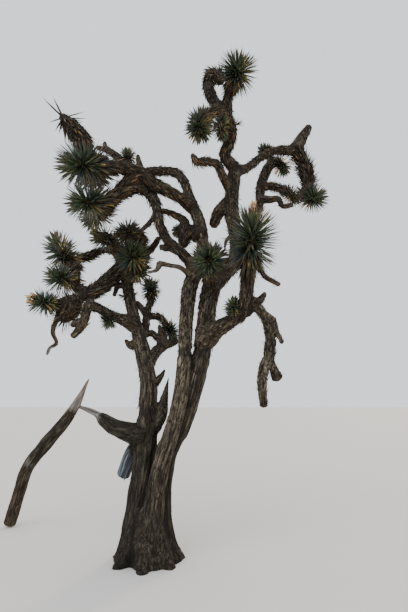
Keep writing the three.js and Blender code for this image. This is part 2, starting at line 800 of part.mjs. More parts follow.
for (const name of Object.keys(HEADS)) {
  for (const piece of [name, ...twigsOn([name])]) {
    take(piece, ringsOf(piece));
  }
}

const random = seededNumbers(SEED);
for (const name of Object.keys(HEADS)) {
  const stem = cutClear(headStem(name, 0));
  const leaves = leavesOf(name, random).map((leaf) => leafSolid(leaf.start, leaf.end, leaf.stemLine));
  const head = biggest(join([stem, ...leaves]));
  place(headStem(name, GAP));
  tree.add(meshFrom(name, head, HEADS[name].dry ? DRY_LEAF : LEAF_GREEN));
}

export default tree;
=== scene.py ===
"""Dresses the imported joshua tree: fissured bark, shaggy old leaves, green dagger heads and buds."""

import itertools
import math

import bmesh
import bpy
import numpy as np
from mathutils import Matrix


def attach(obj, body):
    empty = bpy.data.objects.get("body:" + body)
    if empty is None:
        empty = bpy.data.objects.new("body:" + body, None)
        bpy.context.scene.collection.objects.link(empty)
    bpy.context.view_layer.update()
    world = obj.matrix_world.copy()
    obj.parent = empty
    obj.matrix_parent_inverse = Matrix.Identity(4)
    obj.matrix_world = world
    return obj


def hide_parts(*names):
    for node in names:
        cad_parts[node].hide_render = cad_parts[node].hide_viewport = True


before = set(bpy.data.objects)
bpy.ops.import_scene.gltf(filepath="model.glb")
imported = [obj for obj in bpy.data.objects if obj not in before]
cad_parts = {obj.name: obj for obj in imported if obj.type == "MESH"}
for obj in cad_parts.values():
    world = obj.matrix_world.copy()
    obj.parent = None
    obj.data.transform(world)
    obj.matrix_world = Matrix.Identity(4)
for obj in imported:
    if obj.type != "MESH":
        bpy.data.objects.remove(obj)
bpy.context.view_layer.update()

# Fineness of the meshes
MM = 0.001
SAMPLES_PER_BEND = 8
TUBE_SIDES = 20
BARK_VOXEL = 10 * MM
DEAD_VOXEL = 8 * MM
SMOOTHINGS = 4
LEAVES_PER_SOLID = 12  # real leaves for each broad one of the source
SKIRTS_PER_SOLID = 5  # hanging dead leaves for each broad one of the source

# Root flare of the trunk in mm, as in the source
FLARE = 115  # added to the radius at the ground
FLARE_HEIGHT = 200
TOE_COUNT = 7
TOE_REACH = 380
TOE_TOP = 470
TOE_GIRTH = [230, 190, 110]
TOE_LINE = [[0.12, 1], [0.5, 0.3], [1, -0.2]]  # out and up, as shares of its reach and its top
TOE_FIRST_BEARING = 12

# The source's rule for dagger leaves
YOUNG_LEAF_ANGLE = 16  # from the stem's way, in degrees
OLD_LEAF_ANGLE = 132
GOLDEN_ANGLE = 137.5  # from each leaf to the next round the stem, in degrees
LEAF_WIDTH = 24 * MM
LEAF_THICKNESS = 7 * MM

# Dead leaves
SKIRT_ANGLES = (122, 165)  # from the stem's way, of those that hang below a head, from its top to its foot
SHINGLE_LIFTS = (3, 22)  # degrees off the bark of those pressed to a limb, smooth to shaggy
SHINGLE_LENGTHS = (46, 92)  # in mm, smooth to shaggy, like the next two
SHINGLES_APART = (27, 22)
SHINGLE_ROWS_APART = (54, 40)
FIBRES_PER_SQUARE_METRE = 420  # that stand off shaggy bark

# Bark: corky plates on old wood, and the scales that old leaves leave on young wood
PLATE_WIDTH = 28 * MM
PLATE_HEIGHT = 230 * MM
SCALE_WIDTH = 26 * MM
SCALE_HEIGHT = 62 * MM
PLATE_DEPTH = 9 * MM
WANDER_WIDTH = 100 * MM  # of the waves that bend rows of plates aside
WANDER_LENGTH = 300 * MM
LUMP_SIZE = 160 * MM  # of swellings in the limb itself
BARE_PATCH_SIZE = 130 * MM
FURROW_SPACING = 62 * MM
FURROW_LENGTH = 600 * MM
FURROW_DEPTH = 10 * MM
CRACK_SPACING = 14 * MM  # of bare wood
CRACK_LENGTH = 400 * MM
CREASE_WIDTH = 34 * MM  # of the shadowed groove where two stems are fused
CREASE_DEPTH = 12 * MM
JOIN_WIDTH = 30 * MM  # over which bark smooths out where two limbs meet
YOUNG_RADIUS = 60 * MM  # of limbs too thin for furrows
OLD_RADIUS = 100 * MM  # of limbs with furrows in full

# Torn ends in each part of the tree: limb, whether at its tip, how many splinters, and their length in mm
TORN_ENDS = {
    "trunk": [("broken_snag", True, 5, 90)],
    "dead": [("fallen_arm", False, 6, 60), ("low_bough", True, 4, 60), ("bleached_stub", True, 5, 50)],
}


def grown(parent, share, girth, *bends, **more):
    """A tapering limb that leaves another at a share of its way, with even girths and its steps."""
    return {"from": (parent, share), "girth": girth, "bends": bends, **more}


def placed(foot, girth, *bends, **more):
    """A tapering limb whose foot has a place of its own."""
    return {"foot": foot, "girth": girth, "bends": bends, **more}


def head(parent, share, leaf, count, leafy, girth, *bends, **more):
    """A limb with leaves: their length, how many the source has, and where on its way they begin."""
    return grown(parent, share, girth, *bends, leaf=leaf, count=count, leafy=leafy, **more)


# Every limb in mm, as in the source, with its look. A look is one value or is even from foot to tip:
#   shag: how shaggy it is with old leaves. 0 is corky plates, 1 is loose leaves
#   gold: golden tint: the tan of torn wood; on bark and old leaves, painted glow of the low sun, mostly on
#       the underside
#   bare: how bare of bark it is
#   pale: how light its bark is. 0 is brown and dark, 1 is grey and pale
USUAL = {"shag": [0.35, 0.55], "gold": 0.12, "bare": 0, "pale": 0.4}

# A head also has:
#   skirt: how many dead leaves hang below its green ones, beside the usual number
#   gilt: how many of its green leaves are yellow and gilded, mostly as painted glow where they point to the
#       low sun
#   withered: the share of its daggers that are dead
#   dry: whether it has no green leaves left
USUAL_OF_HEAD = {"shag": [0.8, 1], "skirt": 1, "gilt": 0.18, "withered": 0, "dry": False}
LIT_WAY = (0.75, 0.25, -0.6)  # of leaves that the low sun lights best

# The three fused stems at the foot of the trunk. Their low bark is partly brown, partly painted shade
LOBES = {
    "left_lobe": placed([-110, 30, 0], [265, 262, 245, 215], [10, 10, 500], [40, 30, 490], [0, 40, 440],
        region="trunk", shag=[0, 0.03], gold=0, pale=[0, 0.1, 0.3]),
    "front_lobe": placed([40, -80, 0], [215, 195, 180, 170, 160, 155], [20, -20, 480], [60, -10, 390],
        [120, -10, 390], [80, 20, 360], [40, 20, 440], region="trunk", shag=[0, 0.15], gold=0,
        pale=[0.1, 0.45, 0.9]),
    "right_lobe": placed([120, 40, 0], [245, 240, 240, 235, 235, 230, 230], [-20, 0, 500], [30, 0, 340],
        [40, 0, 190], [120, 0, 220], [130, 0, 370], [130, -20, 450], region="trunk", shag=[0, 0.1], gold=0,
        pale=[0, 0.15, 0.6]),
}

# Stems and boughs, each one tapering limb
LIMBS = {
    "left_stem": grown("left_lobe", 1, [215, 200, 185, 140, 135, 175], [0, 50, 300], [-90, 90, 380],
        [-130, 90, 420], [-100, 60, 370], [-60, 20, 350], region="trunk", shag=[0.03, 0.25, 0.5], gold=0.01,
        pale=[0.5, 0.55]),
    "middle_stem": grown("front_lobe", 1, [155, 155, 165, 175, 155], [10, 0, 320], [20, 10, 280],
        [30, 10, 200], [70, 40, 170], region="trunk", shag=[0.2, 0.4], gold=0.01, pale=[0.95, 0.9]),
    "right_stem": grown("right_lobe", 1, [225, 205, 210, 220], [40, -20, 320], [30, -10, 290], [50, 0, 190],
        region="trunk", shag=[0.12, 0.5], gold=0.01, pale=[0.7, 0.8]),
    "leader": grown("right_stem", 1, [235, 205, 165, 155, 180, 165, 160], [130, 50, 140], [140, 50, 180],
        [20, 30, 290], [-50, -10, 340], [10, -30, 280], [40, -40, 260], shag=[0.35, 0.5], gold=0.04,
        pale=[0.7, 0.6]),
    "top_leader": grown("leader", 1, [160, 135, 130, 125, 115, 110, 135], [-130, -70, 150], [50, -50, 140],
        [30, -60, 130], [-60, -100, 170], [10, -80, 170], [70, -80, 150], shag=[0.5, 1], gold=0.2,
        pale=[0.5, 0.4]),
    "west_arm": grown("leader", 0.81, [105, 95, 95, 90, 85, 50], [-120, -120, 160], [-70, -140, 70],
        [-140, -150, -50], [-100, -100, -60], [-50, -40, 60], shag=[0.5, 0.9], gold=0.4),
    "east_arm": grown("leader", 0.985, [125, 100, 95, 90, 110, 150], [160, 110, 110], [160, 130, 200],
        [180, 140, 200], [210, 140, 130], [240, 120, 50], shag=[0.5, 0.8], gold=0.3),
    "east_drop": grown("east_arm", 1, [150, 170, 175, 140], [90, 40, -160], [60, 20, -230],
        [-50, -10, -250], shag=[1.5, 1.6, 1.3], gold=0.25),
    "riser": grown("leader", 0.43, [105, 105, 105, 115, 130, 135, 120], [140, 220, 240], [120, 160, 280],
        [110, 160, 320], [50, 150, 350], [110, 120, 320], [110, 80, 220], shag=[0.3, 0.6]),
    "elbow_bough": grown("right_stem", 0.19, [240, 175, 135, 150], [170, -160, 80], [140, -120, 70],
        [120, -110, 90], shag=[0.25, 0.7], gold=0.15, pale=0.6),
    "elbow_riser": grown("elbow_bough", 1, [155, 140, 130, 125], [0, -90, 110], [10, -90, 130],
        [0, -90, 130], shag=[0.6, 0.9], gold=0.08, pale=0.7),
    "hanging_bough": grown("elbow_bough", 0.86, [95, 95, 95, 105, 110, 105], [160, -70, 50],
        [80, -10, -100], [50, 0, -140], [0, 10, -160], [-20, 10, -150], shag=[0.5, 0.6], pale=[0.8, 1]),
    "left_leader": grown("middle_stem", 1, [150, 140, 145, 145, 130, 110], [60, 50, 180], [0, 30, 250],
        [-50, 30, 260], [-90, 40, 240], [-90, 50, 310], shag=[0.45, 0.55]),
    "arch_top": grown("left_leader", 1, [110, 110, 105, 110, 120], [-100, 70, 160], [-140, 80, 80],
        [-200, 140, 80], [-220, 130, 50], shag=[0.5, 0.9], gold=0.2),
    "upper_bough": grown("left_leader", 0.74, [145, 125, 140, 150, 145, 130, 110], [-180, -100, 90],
        [-180, -110, 50], [-150, -120, 30], [-130, -130, 40], [-160, -150, -30], [-150, -130, -60],
        shag=[0.45, 1.1], gold=0.3, pale=[0.35, 0.2]),
    "upper_spur": grown("arch_top", 1, [150, 140, 110, 80, 60], [-170, 80, 140], [-160, 70, 190],
        [-180, 30, 150], [-150, 10, 40], shag=[0.7, 0.7]),
    "middle_bough": grown("upper_bough", 0.66, [120, 125, 125, 120], [-110, -50, -180], [-80, -80, -160],
        [-100, -80, -130], shag=[0.9, 1.2], gold=0.6, pale=0.1),
    "cross_bough": grown("middle_stem", 0.96, [130, 115, 110, 100, 100, 110, 150], [-100, -60, 140],
        [-100, -70, 90], [-130, -40, 110], [-80, 0, 170], [-50, 30, 230], [-110, 140, 280],
        shag=[0.4, 0.8]),
    "lower_bough": grown("cross_bough", 1, [140, 130, 130, 135, 140], [-160, 120, 120], [-170, 130, 10],
        [-170, 120, -30], [-140, 90, -70], shag=[0.8, 1.1], gold=0.6, pale=0.1),
    "dead_arm": grown("middle_stem", 0.84, [65, 55, 50, 60], [-130, -140, 80], [-130, -100, 0],
        [-100, -70, 0], shag=0.1, bare=[0, 0.1], pale=0.5),
    "bridge_limb": grown("left_stem", 0.97, [110, 95, 80, 70, 60], [160, -20, 90], [130, -70, 80],
        [100, -70, 90], [50, -60, 60]),
    "falling_bough": grown("left_stem", 0.98, [185, 190, 185, 160], [-130, -90, -160], [-130, -110, -170],
        [-140, -110, -130], shag=[0.5, 0.9]),
    "low_arm": grown("left_stem", 0.57, [190, 120, 100, 100, 105], [-170, -150, 30], [-100, -160, 30],
        [-90, -130, 40], [-70, -70, 10], shag=[0.3, 0.5]),
    "drooping_arm": grown("low_arm", 1, [105, 105, 90, 70], [-20, -30, -80], [-10, -20, -130],
        [-100, -30, -150], gold=0.3),
    "outer_riser": grown("falling_bough", 0.89, [115, 105, 105, 120], [-170, 40, 80], [-50, 70, 160],
        [-20, 60, 150]),
    "outer_arm": grown("falling_bough", 1, [115, 100, 90, 80], [-100, -80, -60], [-90, -90, -50],
        [-90, -80, -40]),
    "back_arm": grown("left_stem", 0.31, [140, 130, 120, 75], [90, 160, 180], [90, 100, 100],
        [150, 120, 70]),
    "back_twig": grown("left_stem", 0.47, [100, 95, 85, 78], [40, 130, 190], [10, 60, 190], [40, 50, 170]),
    "fallen_arm": placed([-810, 370, 1780], [30, 100, 130, 150, 150, 145, 150], [-100, 20, -220],
        [-140, 50, -220], [-250, 120, -270], [-310, 240, -330], [-150, 180, -320], [-120, 90, -380],
        region="dead", shag=0, gold=[0.7, 0.4, 0, 0, 0.1, 0.1, 0.1], bare=[1, 0.95, 0, 0.05, 0.3, 0.2, 0.1],
        pale=[1, 0.9, 0.8, 1]),
    "low_bough": grown("left_lobe", 0.8, [215, 190, 175, 140, 75, 60, 40], [-220, 20, 60], [-150, 80, 40],
        [-150, 70, 80], [-80, 40, 50], [-120, 50, 50], [-130, 50, 40], region="dead", shag=0,
        gold=[0, 0, 0, 0, 0.2, 0.4, 0.4], bare=[0, 0, 0, 0.25, 0.9, 1, 1], pale=[0.3, 0.6, 0.9]),
}

# Stubs and dead twigs that belong to the limb they grow from
TWIGS = {
    "broken_snag": grown("left_lobe", 0.84, [200, 150, 95, 20], [140, 40, 170], [40, 0, 170],
        [40, -10, 200], region="trunk", shag=[0.1, 0.3], gold=0, bare=[0, 0.2]),
    "bleached_stub": grown("left_lobe", 0.74, [150, 165, 150], [-150, 110, -80], [-120, 70, -260],
        region="dead", shag=0, gold=0, bare=[0, 0, 0.4, 1, 1], pale=0),
    "west_stub": grown("leader", 0.76, [130, 145, 110], [-150, 70, -130], [-80, 50, -170], shag=[0.5, 0.6],
        gold=0.3),
    "riser_hook": grown("riser", 0.55, [110, 90, 70, 68], [130, -100, -60], [90, -60, -20], [60, -30, -120],
        [120, -40, 0], shag=0.25),
    "thin_arm": grown("elbow_riser", 0.84, [55, 50, 50], [90, -30, 70], [70, -30, -110], [140, -10, -90],
        shag=0.25, gold=0.3, bare=[0.1, 0.2]),
    "elbow_stub": grown("elbow_riser", 0.26, [95, 85, 45], [120, 20, -20], [90, 30, 100]),
    "hanging_twig": grown("hanging_bough", 0.35, [70, 50, 45], [100, -30, -70], [30, -10, -110],
        [50, 0, -130], pale=0.8),
    "fork_left": grown("hanging_bough", 0.97, [90, 100, 95, 80], [-50, 0, -100], [-30, -20, -140],
        [10, -10, -230], pale=1),
    "fork_right": grown("hanging_bough", 0.97, [70, 65, 110], [40, 30, -80], [50, 20, -120], pale=1),
    "crooked_twig": grown("outer_arm", 0.69, [80, 60, 45, 40, 35], [-30, 0, -150], [-40, -20, -200],
        [50, 0, -120], [-70, -10, -60], [-20, 0, -70], shag=0.1, bare=[0.2, 0.4]),
    "beak": grown("left_stem", 0.47, [110, 95, 30], [-90, -50, -70], [-70, -40, 60], bare=[0, 0.3]),
    "hook_stub": grown("left_stem", 0.83, [75, 60, 50], [-110, -30, -10], [-40, -30, -130]),
    "spur_top": grown("upper_spur", 0.6, [85, 70, 35], [-130, -10, 120], [-10, 0, 80]),
    "arch_stub": grown("arch_top", 0.95, [95, 75, 45], [-50, 40, 190], [-20, 0, 110]),
    "thin_drop": grown("cross_bough", 0.81, [65, 50, 50], [-60, -20, -140], [-110, -30, -140]),
    "cross_stub": grown("cross_bough", 0.3, [90, 75, 65], [-120, 0, 40], [-110, 0, 10]),
    "dead_hook": grown("dead_arm", 0.96, [60, 45, 25], [-30, -20, -80], [-90, -20, -40], shag=0.1,
        bare=[0.1, 0.25]),
    "back_stub": grown("back_arm", 0.6, [120, 105, 28], [-10, 20, 160], [-40, -10, 110]),
    "east_horn": grown("east_arm", 0.97, [165, 160, 95], [110, 40, 220], [130, 10, 220]),
    "dead_rosette": grown("outer_arm", 0.35, [130, 230, 240, 110], [-10, -40, -80], [-20, -20, -80],
        [-50, -10, -100], shag=[0.6, 1], gold=0.25),
    "arm_lump": grown("drooping_arm", 0.6, [75, 70, 50], [-100, 0, -30], [-40, 0, -20]),
    "curl_drop": grown("curled_head", 0.6, [120, 140, 95], [10, -50, -140], [-20, -10, -100], shag=1.2),
    "curl_arm": grown("curled_head", 0.62, [115, 95, 80, 60], [10, 20, 120], [-130, 50, 110],
        [-160, 50, 90], shag=0.7, gold=0.7),
    "cross_twig": grown("back_twig", 0.6, [75, 68, 60], [-80, -10, 100], [-50, -10, 60]),
    "back_brace": grown("back_twig", 0.12, [80, 75, 70], [110, 100, 30], [100, 20, -90]),
    "leader_twig": grown("leader", 0.53, [60, 40, 25], [-110, -50, -100], [-30, -40, -130], shag=0.2),
    "inner_spur": grown("left_stem", 0.16, [90, 65, 20], [130, 10, 150], [50, -10, 80], shag=0.5),
}

# Heads of leaves
HEADS = {
    "top_head": head("top_leader", 1, 285, 24, 0.3, [125, 100], [30, -40, 50], [20, -40, 60], gold=0.5,
        skirt=1.8, gilt=0.5),
    "cap_head": head("top_leader", 0.69, 150, 11, 0.75, [115, 130, 135, 125, 110, 120, 100],
        [-120, 50, 110], [-80, 70, 230], [-20, 40, 210], [30, 0, 110], [90, -30, -50], [30, -30, -130],
        dry=True, shag=[0.7, 1.3], gold=0.1, skirt=3),
    "west_head": head("top_leader", 0.65, 200, 20, 0.6, [100, 90, 90, 85, 75], [-180, -90, -30],
        [-100, -80, -130], [-60, -40, -140], [10, -30, -120], gold=0.6, gilt=1),
    "hanging_tuft": head("top_leader", 0.6, 150, 9, 0.5, [85, 70], [-100, -70, -80], [10, -40, -210],
        gold=0.6, gilt=1.4, withered=0.2),
    "arm_tuft": head("east_arm", 0.56, 130, 12, 0.55, [95, 70], [10, 110, 90], [-10, 60, 80], gilt=0.8),
    "riser_head": head("riser", 1, 185, 13, 0.3, [115, 90], [110, 10, -40], [50, -20, -120], gilt=0.8),
    "riser_arm": head("riser", 0.67, 150, 12, 0.72, [105, 95, 85, 75], [160, -110, -60], [150, -100, -120],
        [120, -60, -170], shag=[0.7, 1.3], gold=0.4, gilt=0.6, withered=0.6),
    "east_head": head("east_drop", 1, 240, 19, 0.3, [140, 105], [60, -30, -80], [70, -60, -10]),
    "great_head": head("elbow_riser", 1, 325, 29, 0.25, [125, 120, 105, 70], [10, -80, 130], [10, -70, 120],
        [10, -50, 110], gold=0.25, skirt=0.7),
    "front_head": head("right_stem", 0.91, 260, 22, 0.6, [125, 115, 100, 80], [-10, -210, 100],
        [-20, -210, 70], [0, -70, 0], skirt=0.7, gilt=0.1),
    "elbow_tuft": head("elbow_bough", 0.74, 140, 9, 0.6, [65, 50], [-20, -70, 70], [-10, -50, 30],
        gilt=0.7),
    "left_head": head("upper_bough", 1, 290, 24, 0.3, [110, 85], [-130, -100, -60], [-120, -80, -50],
        skirt=0.5),
    "side_head": head("upper_bough", 0.86, 260, 16, 0.55, [90, 90, 80], [-220, 90, 0], [-130, 90, 10],
        skirt=0.4),
    "left_plume": head("upper_bough", 0.97, 230, 15, 0.5, [150, 185, 195, 160, 80], [-200, -50, 70],
        [-40, -40, 160], [-100, -30, 140], [-120, -20, 130], dry=True, shag=[1, 0.8], gold=0.25, skirt=3),
    "middle_head": head("middle_bough", 1, 255, 19, 0.3, [115, 85], [-120, -80, -50], [-100, -60, -30]),
    "lower_head": head("lower_bough", 1, 265, 20, 0.3, [140, 105], [-110, 70, -70], [-100, 50, -60]),
    "upper_tuft": head("upper_spur", 0.3, 150, 9, 0.6, [80, 70], [30, -10, 80], [-20, 0, 100]),
    "hooked_head": head("left_stem", 1, 190, 15, 0.8, [165, 135, 120, 120, 130, 120, 95], [140, -40, 130],
        [40, -50, 60], [50, -60, 60], [-40, -90, 60], [-80, -90, -10], [-80, -70, -70], shag=[1, 1.4],
        gold=0.6, skirt=1.5, gilt=0.6, withered=0.45),
    "front_stem_head": head("left_stem", 0.97, 285, 18, 0.65, [125, 110, 90], [110, -190, 20],
        [50, -150, 50], gold=0.4, gilt=0.5),
    "side_stem_head": head("left_stem", 0.86, 210, 15, 0.6, [115, 100, 85], [100, -120, 110],
        [70, -80, -10], gold=0.4, gilt=0.5),
    "knobby_head": head("left_stem", 0.99, 185, 11, 0.45, [130, 130, 135, 145, 110], [-90, -80, 170],
        [-60, -80, 90], [-80, -70, 20], [-80, -60, -10], shag=[0.6, 0.5], gold=0.3, skirt=0.4,
        withered=0.3),
    "ragged_head": head("left_stem", 0.98, 140, 10, 0.75, [85, 75, 75, 110, 120], [-180, 100, 230],
        [-160, 70, 60], [-180, 50, -60], [-170, 20, -40], dry=True),
    "outer_great_head": head("outer_riser", 1, 255, 22, 0.3, [120, 115, 110, 80], [-130, 60, 90],
        [-110, 50, 140], [-90, 40, 140], gilt=0.6),
    "outer_side_head": head("outer_riser", 0.53, 240, 16, 0.5, [95, 80], [-80, -110, 0], [-90, -70, 0],
        gilt=0.7),
    "outer_arm_head": head("outer_arm", 1, 180, 14, 0.2, [80, 80, 60], [-50, -70, -10], [-60, -60, 10],
        gilt=0.4),
    "low_arm_tuft": head("low_arm", 0.46, 140, 8, 0.6, [70, 60], [-10, 20, -50], [0, 20, -40]),
    "inner_head": head("back_twig", 1, 165, 13, 0.4, [80, 90, 80], [-10, 30, 120], [-10, 20, 100],
        gilt=0.4),
    "back_head": head("back_twig", 0.57, 165, 13, 0.75, [75, 70, 65, 70], [150, 60, 0], [100, 50, -110],
        [70, 30, -120]),
    "curled_head": head("left_leader", 0.42, 105, 12, 0.72, [150, 175, 150, 70], [-160, 110, 100],
        [-80, -40, 10], [-80, -30, -50], shag=[0.9, 1.1], gold=0.35, gilt=1.2, withered=0.15),
}

SPECS = {
    **{name: {**USUAL, **limb} for name, limb in {**LOBES, **LIMBS, **TWIGS}.items()},
    **{name: {**USUAL, **USUAL_OF_HEAD, **limb} for name, limb in HEADS.items()},
}

# The part of the tree that a limb is made with, where it isn't given. Others go with the one they grow from.
REGION_ON_STEM = {"left_stem": "left", "middle_stem": "middle", "right_stem": "right"}
REGIONS = ["trunk", "left", "middle", "right", "dead"]

# Tufts straight from the bark in each part: limb, share of its way, way out, leaf in mm, leaves
SPRIGS = {
    "left": [("left_stem", 0.75, (-1, -0.3, 0.1), 110, 18), ("left_stem", 0.76, (1, -0.4, 0.2), 90, 14),
             ("outer_riser", 0.4, (1, -0.2, 0.1), 110, 14)],
    "right": [("top_leader", 0.54, (1, -0.3, 0.2), 120, 18)],
}

# Way and length in mm of the stiff dead leaves at the tip of the left plume
PLUME_SPIKES = [
    (-0.7, 0.1, 0.75, 390), (-0.3, -0.3, 0.6, 230), (0.9, -0.1, 0.2, 260), (1, -0.2, -0.2, 300),
    (-0.8, -0.2, -0.5, 170), (-0.3, -0.2, -1, 210), (0, -0.3, -1, 270), (0.1, 0.2, -1, 300),
    (0.35, 0.1, -1, 300),
]


def colour(hex_value):
    """An sRGB hex colour as linear red, green, blue and alpha."""
    channels = [((hex_value >> shift) & 255) / 255 for shift in (16, 8, 0)]
    linear = [c / 12.92 if c <= 0.04045 else ((c + 0.055) / 1.055) ** 2.4 for c in channels]
    return (*linear, 1)


def lerp(a, b, share):
    return a + (b - a) * share


def smooth_step(low, high, value):
    share = np.clip((value - low) / (high - low), 0, 1)
    return share * share * (3 - 2 * share)


def unit(rows):
    """Each row's direction."""
    return rows / np.maximum(np.linalg.norm(rows, axis=-1, keepdims=True), 1e-9)


def turned(ways, toward, angles):
    """Each way turned toward another that is square to it, by an angle in radians."""
    return ways * np.cos(angles)[:, None] + toward * np.sin(angles)[:, None]


def along(values, shares):
    """Values from a short list that is even along the way from 0 to 1."""
    return np.interp(shares, np.linspace(0, 1, len(values)), values)


def curve_at(points, shares):
    """Places at shares of the way along a centripetal curve through the points."""
    last = len(points) - 1
    padded = np.vstack([2 * points[0] - points[1], points, 2 * points[-1] - points[-2]])
    place = np.clip(np.asarray(shares, float) * last, 0, last)
    index = np.minimum(place.astype(int), last - 1)
    w = (place - index)[:, None]
    p0, p1, p2, p3 = (padded[index + k] for k in range(4))
    t01, t12, t23 = (np.sqrt(np.linalg.norm(b - a, axis=1))[:, None]
                     for a, b in ((p0, p1), (p1, p2), (p2, p3)))
    leave = ((p1 - p0) / t01 - (p2 - p0) / (t01 + t12) + (p2 - p1) / t12) * t12
    reach = ((p2 - p1) / t12 - (p3 - p1) / (t12 + t23) + (p3 - p2) / t23) * t12
    square = -3 * p1 + 3 * p2 - 2 * leave - reach
    cube = 2 * p1 - 2 * p2 + leave + reach
    return p1 + leave * w + square * w ** 2 + cube * w ** 3


class Line:
    """A limb from its foot to its tip: places, ways, radii and the ways across, in metres."""

    def __init__(self, name):
        spec = SPECS[name]
        if "from" in spec:
            parent, share = spec["from"]
            foot = line_of(parent).at([share])[0]
        else:
            foot = np.array(spec["foot"]) * MM
        self.bends = np.vstack([foot, foot + np.cumsum(np.array(spec["bends"]) * MM, axis=0)])
        count = len(spec["bends"]) * SAMPLES_PER_BEND + 1
        self.shares = np.linspace(0, 1, count)
        self.places = self.at(self.shares)
        self.ways = unit(np.gradient(self.places, axis=0))
        self.radii = along(spec["girth"], self.shares) * MM / 2
        if name in LOBES:
            self.radii = self.radii + FLARE * MM * np.exp(-self.places[:, 2] / (FLARE_HEIGHT * MM))
        steps = np.linalg.norm(np.diff(self.places, axis=0), axis=1)
        self.run = np.concatenate([[0], np.cumsum(steps)])
        self.across, self.side = crosswise(self.ways)

    def at(self, shares):
        return curve_at(self.bends, shares)

    def frame_at(self, shares):
        """Place, way, radius and the two ways across at each share."""
        mix = [np.column_stack([np.interp(shares, self.shares, rows[:, k]) for k in range(3)])
               for rows in (self.ways, self.across, self.side)]
        radii = np.interp(shares, self.shares, self.radii)
        return self.at(shares), unit(mix[0]), radii, unit(mix[1]), unit(mix[2])


lines = {}


def line_of(name):
    if name not in lines:
        lines[name] = Line(name)
    return lines[name]


def crosswise(ways):
    """Two ways across a line at each of its places, turned as little as possible on the way."""
    start = np.array([0.0, 1.0, 0.0])
    if abs(ways[0] @ start) > 0.95:
        start = np.array([1.0, 0.0, 0.0])
    rows = []
    for way in ways:
        start = start - way * (start @ way)
        start = start / np.linalg.norm(start)
        rows.append(start)
    across = np.array(rows)
    return across, np.cross(ways, across)


def region_of(name):
    spec = SPECS[name]
    if "region" in spec:
        return spec["region"]
    parent = spec["from"][0]
    return REGION_ON_STEM.get(parent) or region_of(parent)


def node_of(name):
    """The solid of the source that a limb belongs to."""
    if name in LOBES:
        return "trunk"
    return node_of(SPECS[name]["from"][0]) if name in TWIGS else name


def names_in(region):
    """The limbs that one part of the tree is made of."""
    return [name for name in SPECS if region_of(name) == region]


def hashed(cells, salt):
    """A repeatable number from 0 to 1 for each whole-number place. A salt gives each pattern its own."""
    x, y, z = (cells[:, k].astype(np.int64).astype(np.uint32) for k in range(3))
    mixed = x * np.uint32(73856093) ^ y * np.uint32(19349663) ^ z * np.uint32(83492791)
    mixed = (mixed ^ np.uint32(salt * 7919)) * np.uint32(1274126177)
    mixed = (mixed ^ (mixed >> np.uint32(15))) * np.uint32(2246822519)
    return (mixed >> np.uint32(8)) / float(1 << 24)


def drift(points, salt):
    """Smooth noise from -1 to 1, one wave for each unit of distance."""
    base = np.floor(points)
    w = points - base
    w = w * w * (3 - 2 * w)
    total = np.zeros(len(points))
    for corner in itertools.product((0, 1), repeat=3):
        x, y, z = (w[:, k] if corner[k] else 1 - w[:, k] for k in range(3))
        total += x * y * z * hashed(base + corner, salt)
    return total * 2 - 1


def plates(points, salt):
    """Cells like bark plates: distance to the cell's edge, height above its middle, a number of its own."""
    base = np.floor(points)
    nearest = np.full(len(points), 9.0)
    second = np.full(len(points), 9.0)
    height = np.zeros(len(points))
    number = np.zeros(len(points))
    for step in itertools.product((-1, 0, 1), repeat=3):
        cell = base + step
        seed = np.column_stack([hashed(cell, salt + k) for k in range(3)])
        away = points - cell - seed
        distance = np.linalg.norm(away, axis=1)
        closer = distance < nearest
        second = np.where(closer, nearest, np.minimum(second, distance))
        height = np.where(closer, away[:, 2], height)
        number = np.where(closer, seed[:, 0], number)
        nearest = np.where(closer, distance, nearest)
    return second - nearest, height, number


def joined(parts):
    """Corners and faces of several meshes as one."""
    corners = np.vstack([part[0] for part in parts])
    starts = np.cumsum([0] + [len(part[0]) for part in parts[:-1]])
    faces = np.vstack([part[1] + start for part, start in zip(parts, starts)])
    return corners, faces


def piece_from(name, corners, faces, kinds=None, materials=()):
    """A piece from arrays of corners and triangles, with the number of each triangle's material."""
    mesh = bpy.data.meshes.new(name)
    mesh.vertices.add(len(corners))
    mesh.vertices.foreach_set("co", np.asarray(corners, np.float32).ravel())
    mesh.loops.add(3 * len(faces))
    mesh.loops.foreach_set("vertex_index", np.asarray(faces, np.int32).ravel())
    mesh.polygons.add(len(faces))
    mesh.polygons.foreach_set("loop_start", np.arange(0, 3 * len(faces), 3, dtype=np.int32))
    for material in materials:
        mesh.materials.append(material)
    if kinds is not None:
        mesh.polygons.foreach_set("material_index", np.asarray(kinds, np.int32))
    mesh.update(calc_edges=True)
    piece = bpy.data.objects.new(name, mesh)
    bpy.context.scene.collection.objects.link(piece)
    return piece


def tube(places, ways, radii, across, side, sides=TUBE_SIDES):
    """Corners and faces of a closed tube with domed ends."""
    turns = np.arange(sides) * 2 * math.pi / sides
    spokes = across[:, None] * np.cos(turns)[None, :, None] + side[:, None] * np.sin(turns)[None, :, None]
    rings = places[:, None] + spokes * radii[:, None, None]
    dome = 0.5  # height of an end as a share of its radius
    ends = [places[0] - ways[0] * radii[0] * dome, places[-1] + ways[-1] * radii[-1] * dome]
    corners = np.vstack([rings.reshape(-1, 3), ends])
    here = np.arange(sides)
    after = (here + 1) % sides
    faces = []
    for ring in range(len(places) - 1):
        low = ring * sides
        faces.append(np.column_stack([low + here, low + after, low + sides + after]))
        faces.append(np.column_stack([low + here, low + sides + after, low + sides + here]))
    last = (len(places) - 1) * sides
    foot = np.full(sides, len(corners) - 2)
    faces.append(np.column_stack([after, here, foot]))
    faces.append(np.column_stack([last + here, last + after, foot + 1]))
    return corners, np.vstack(faces)


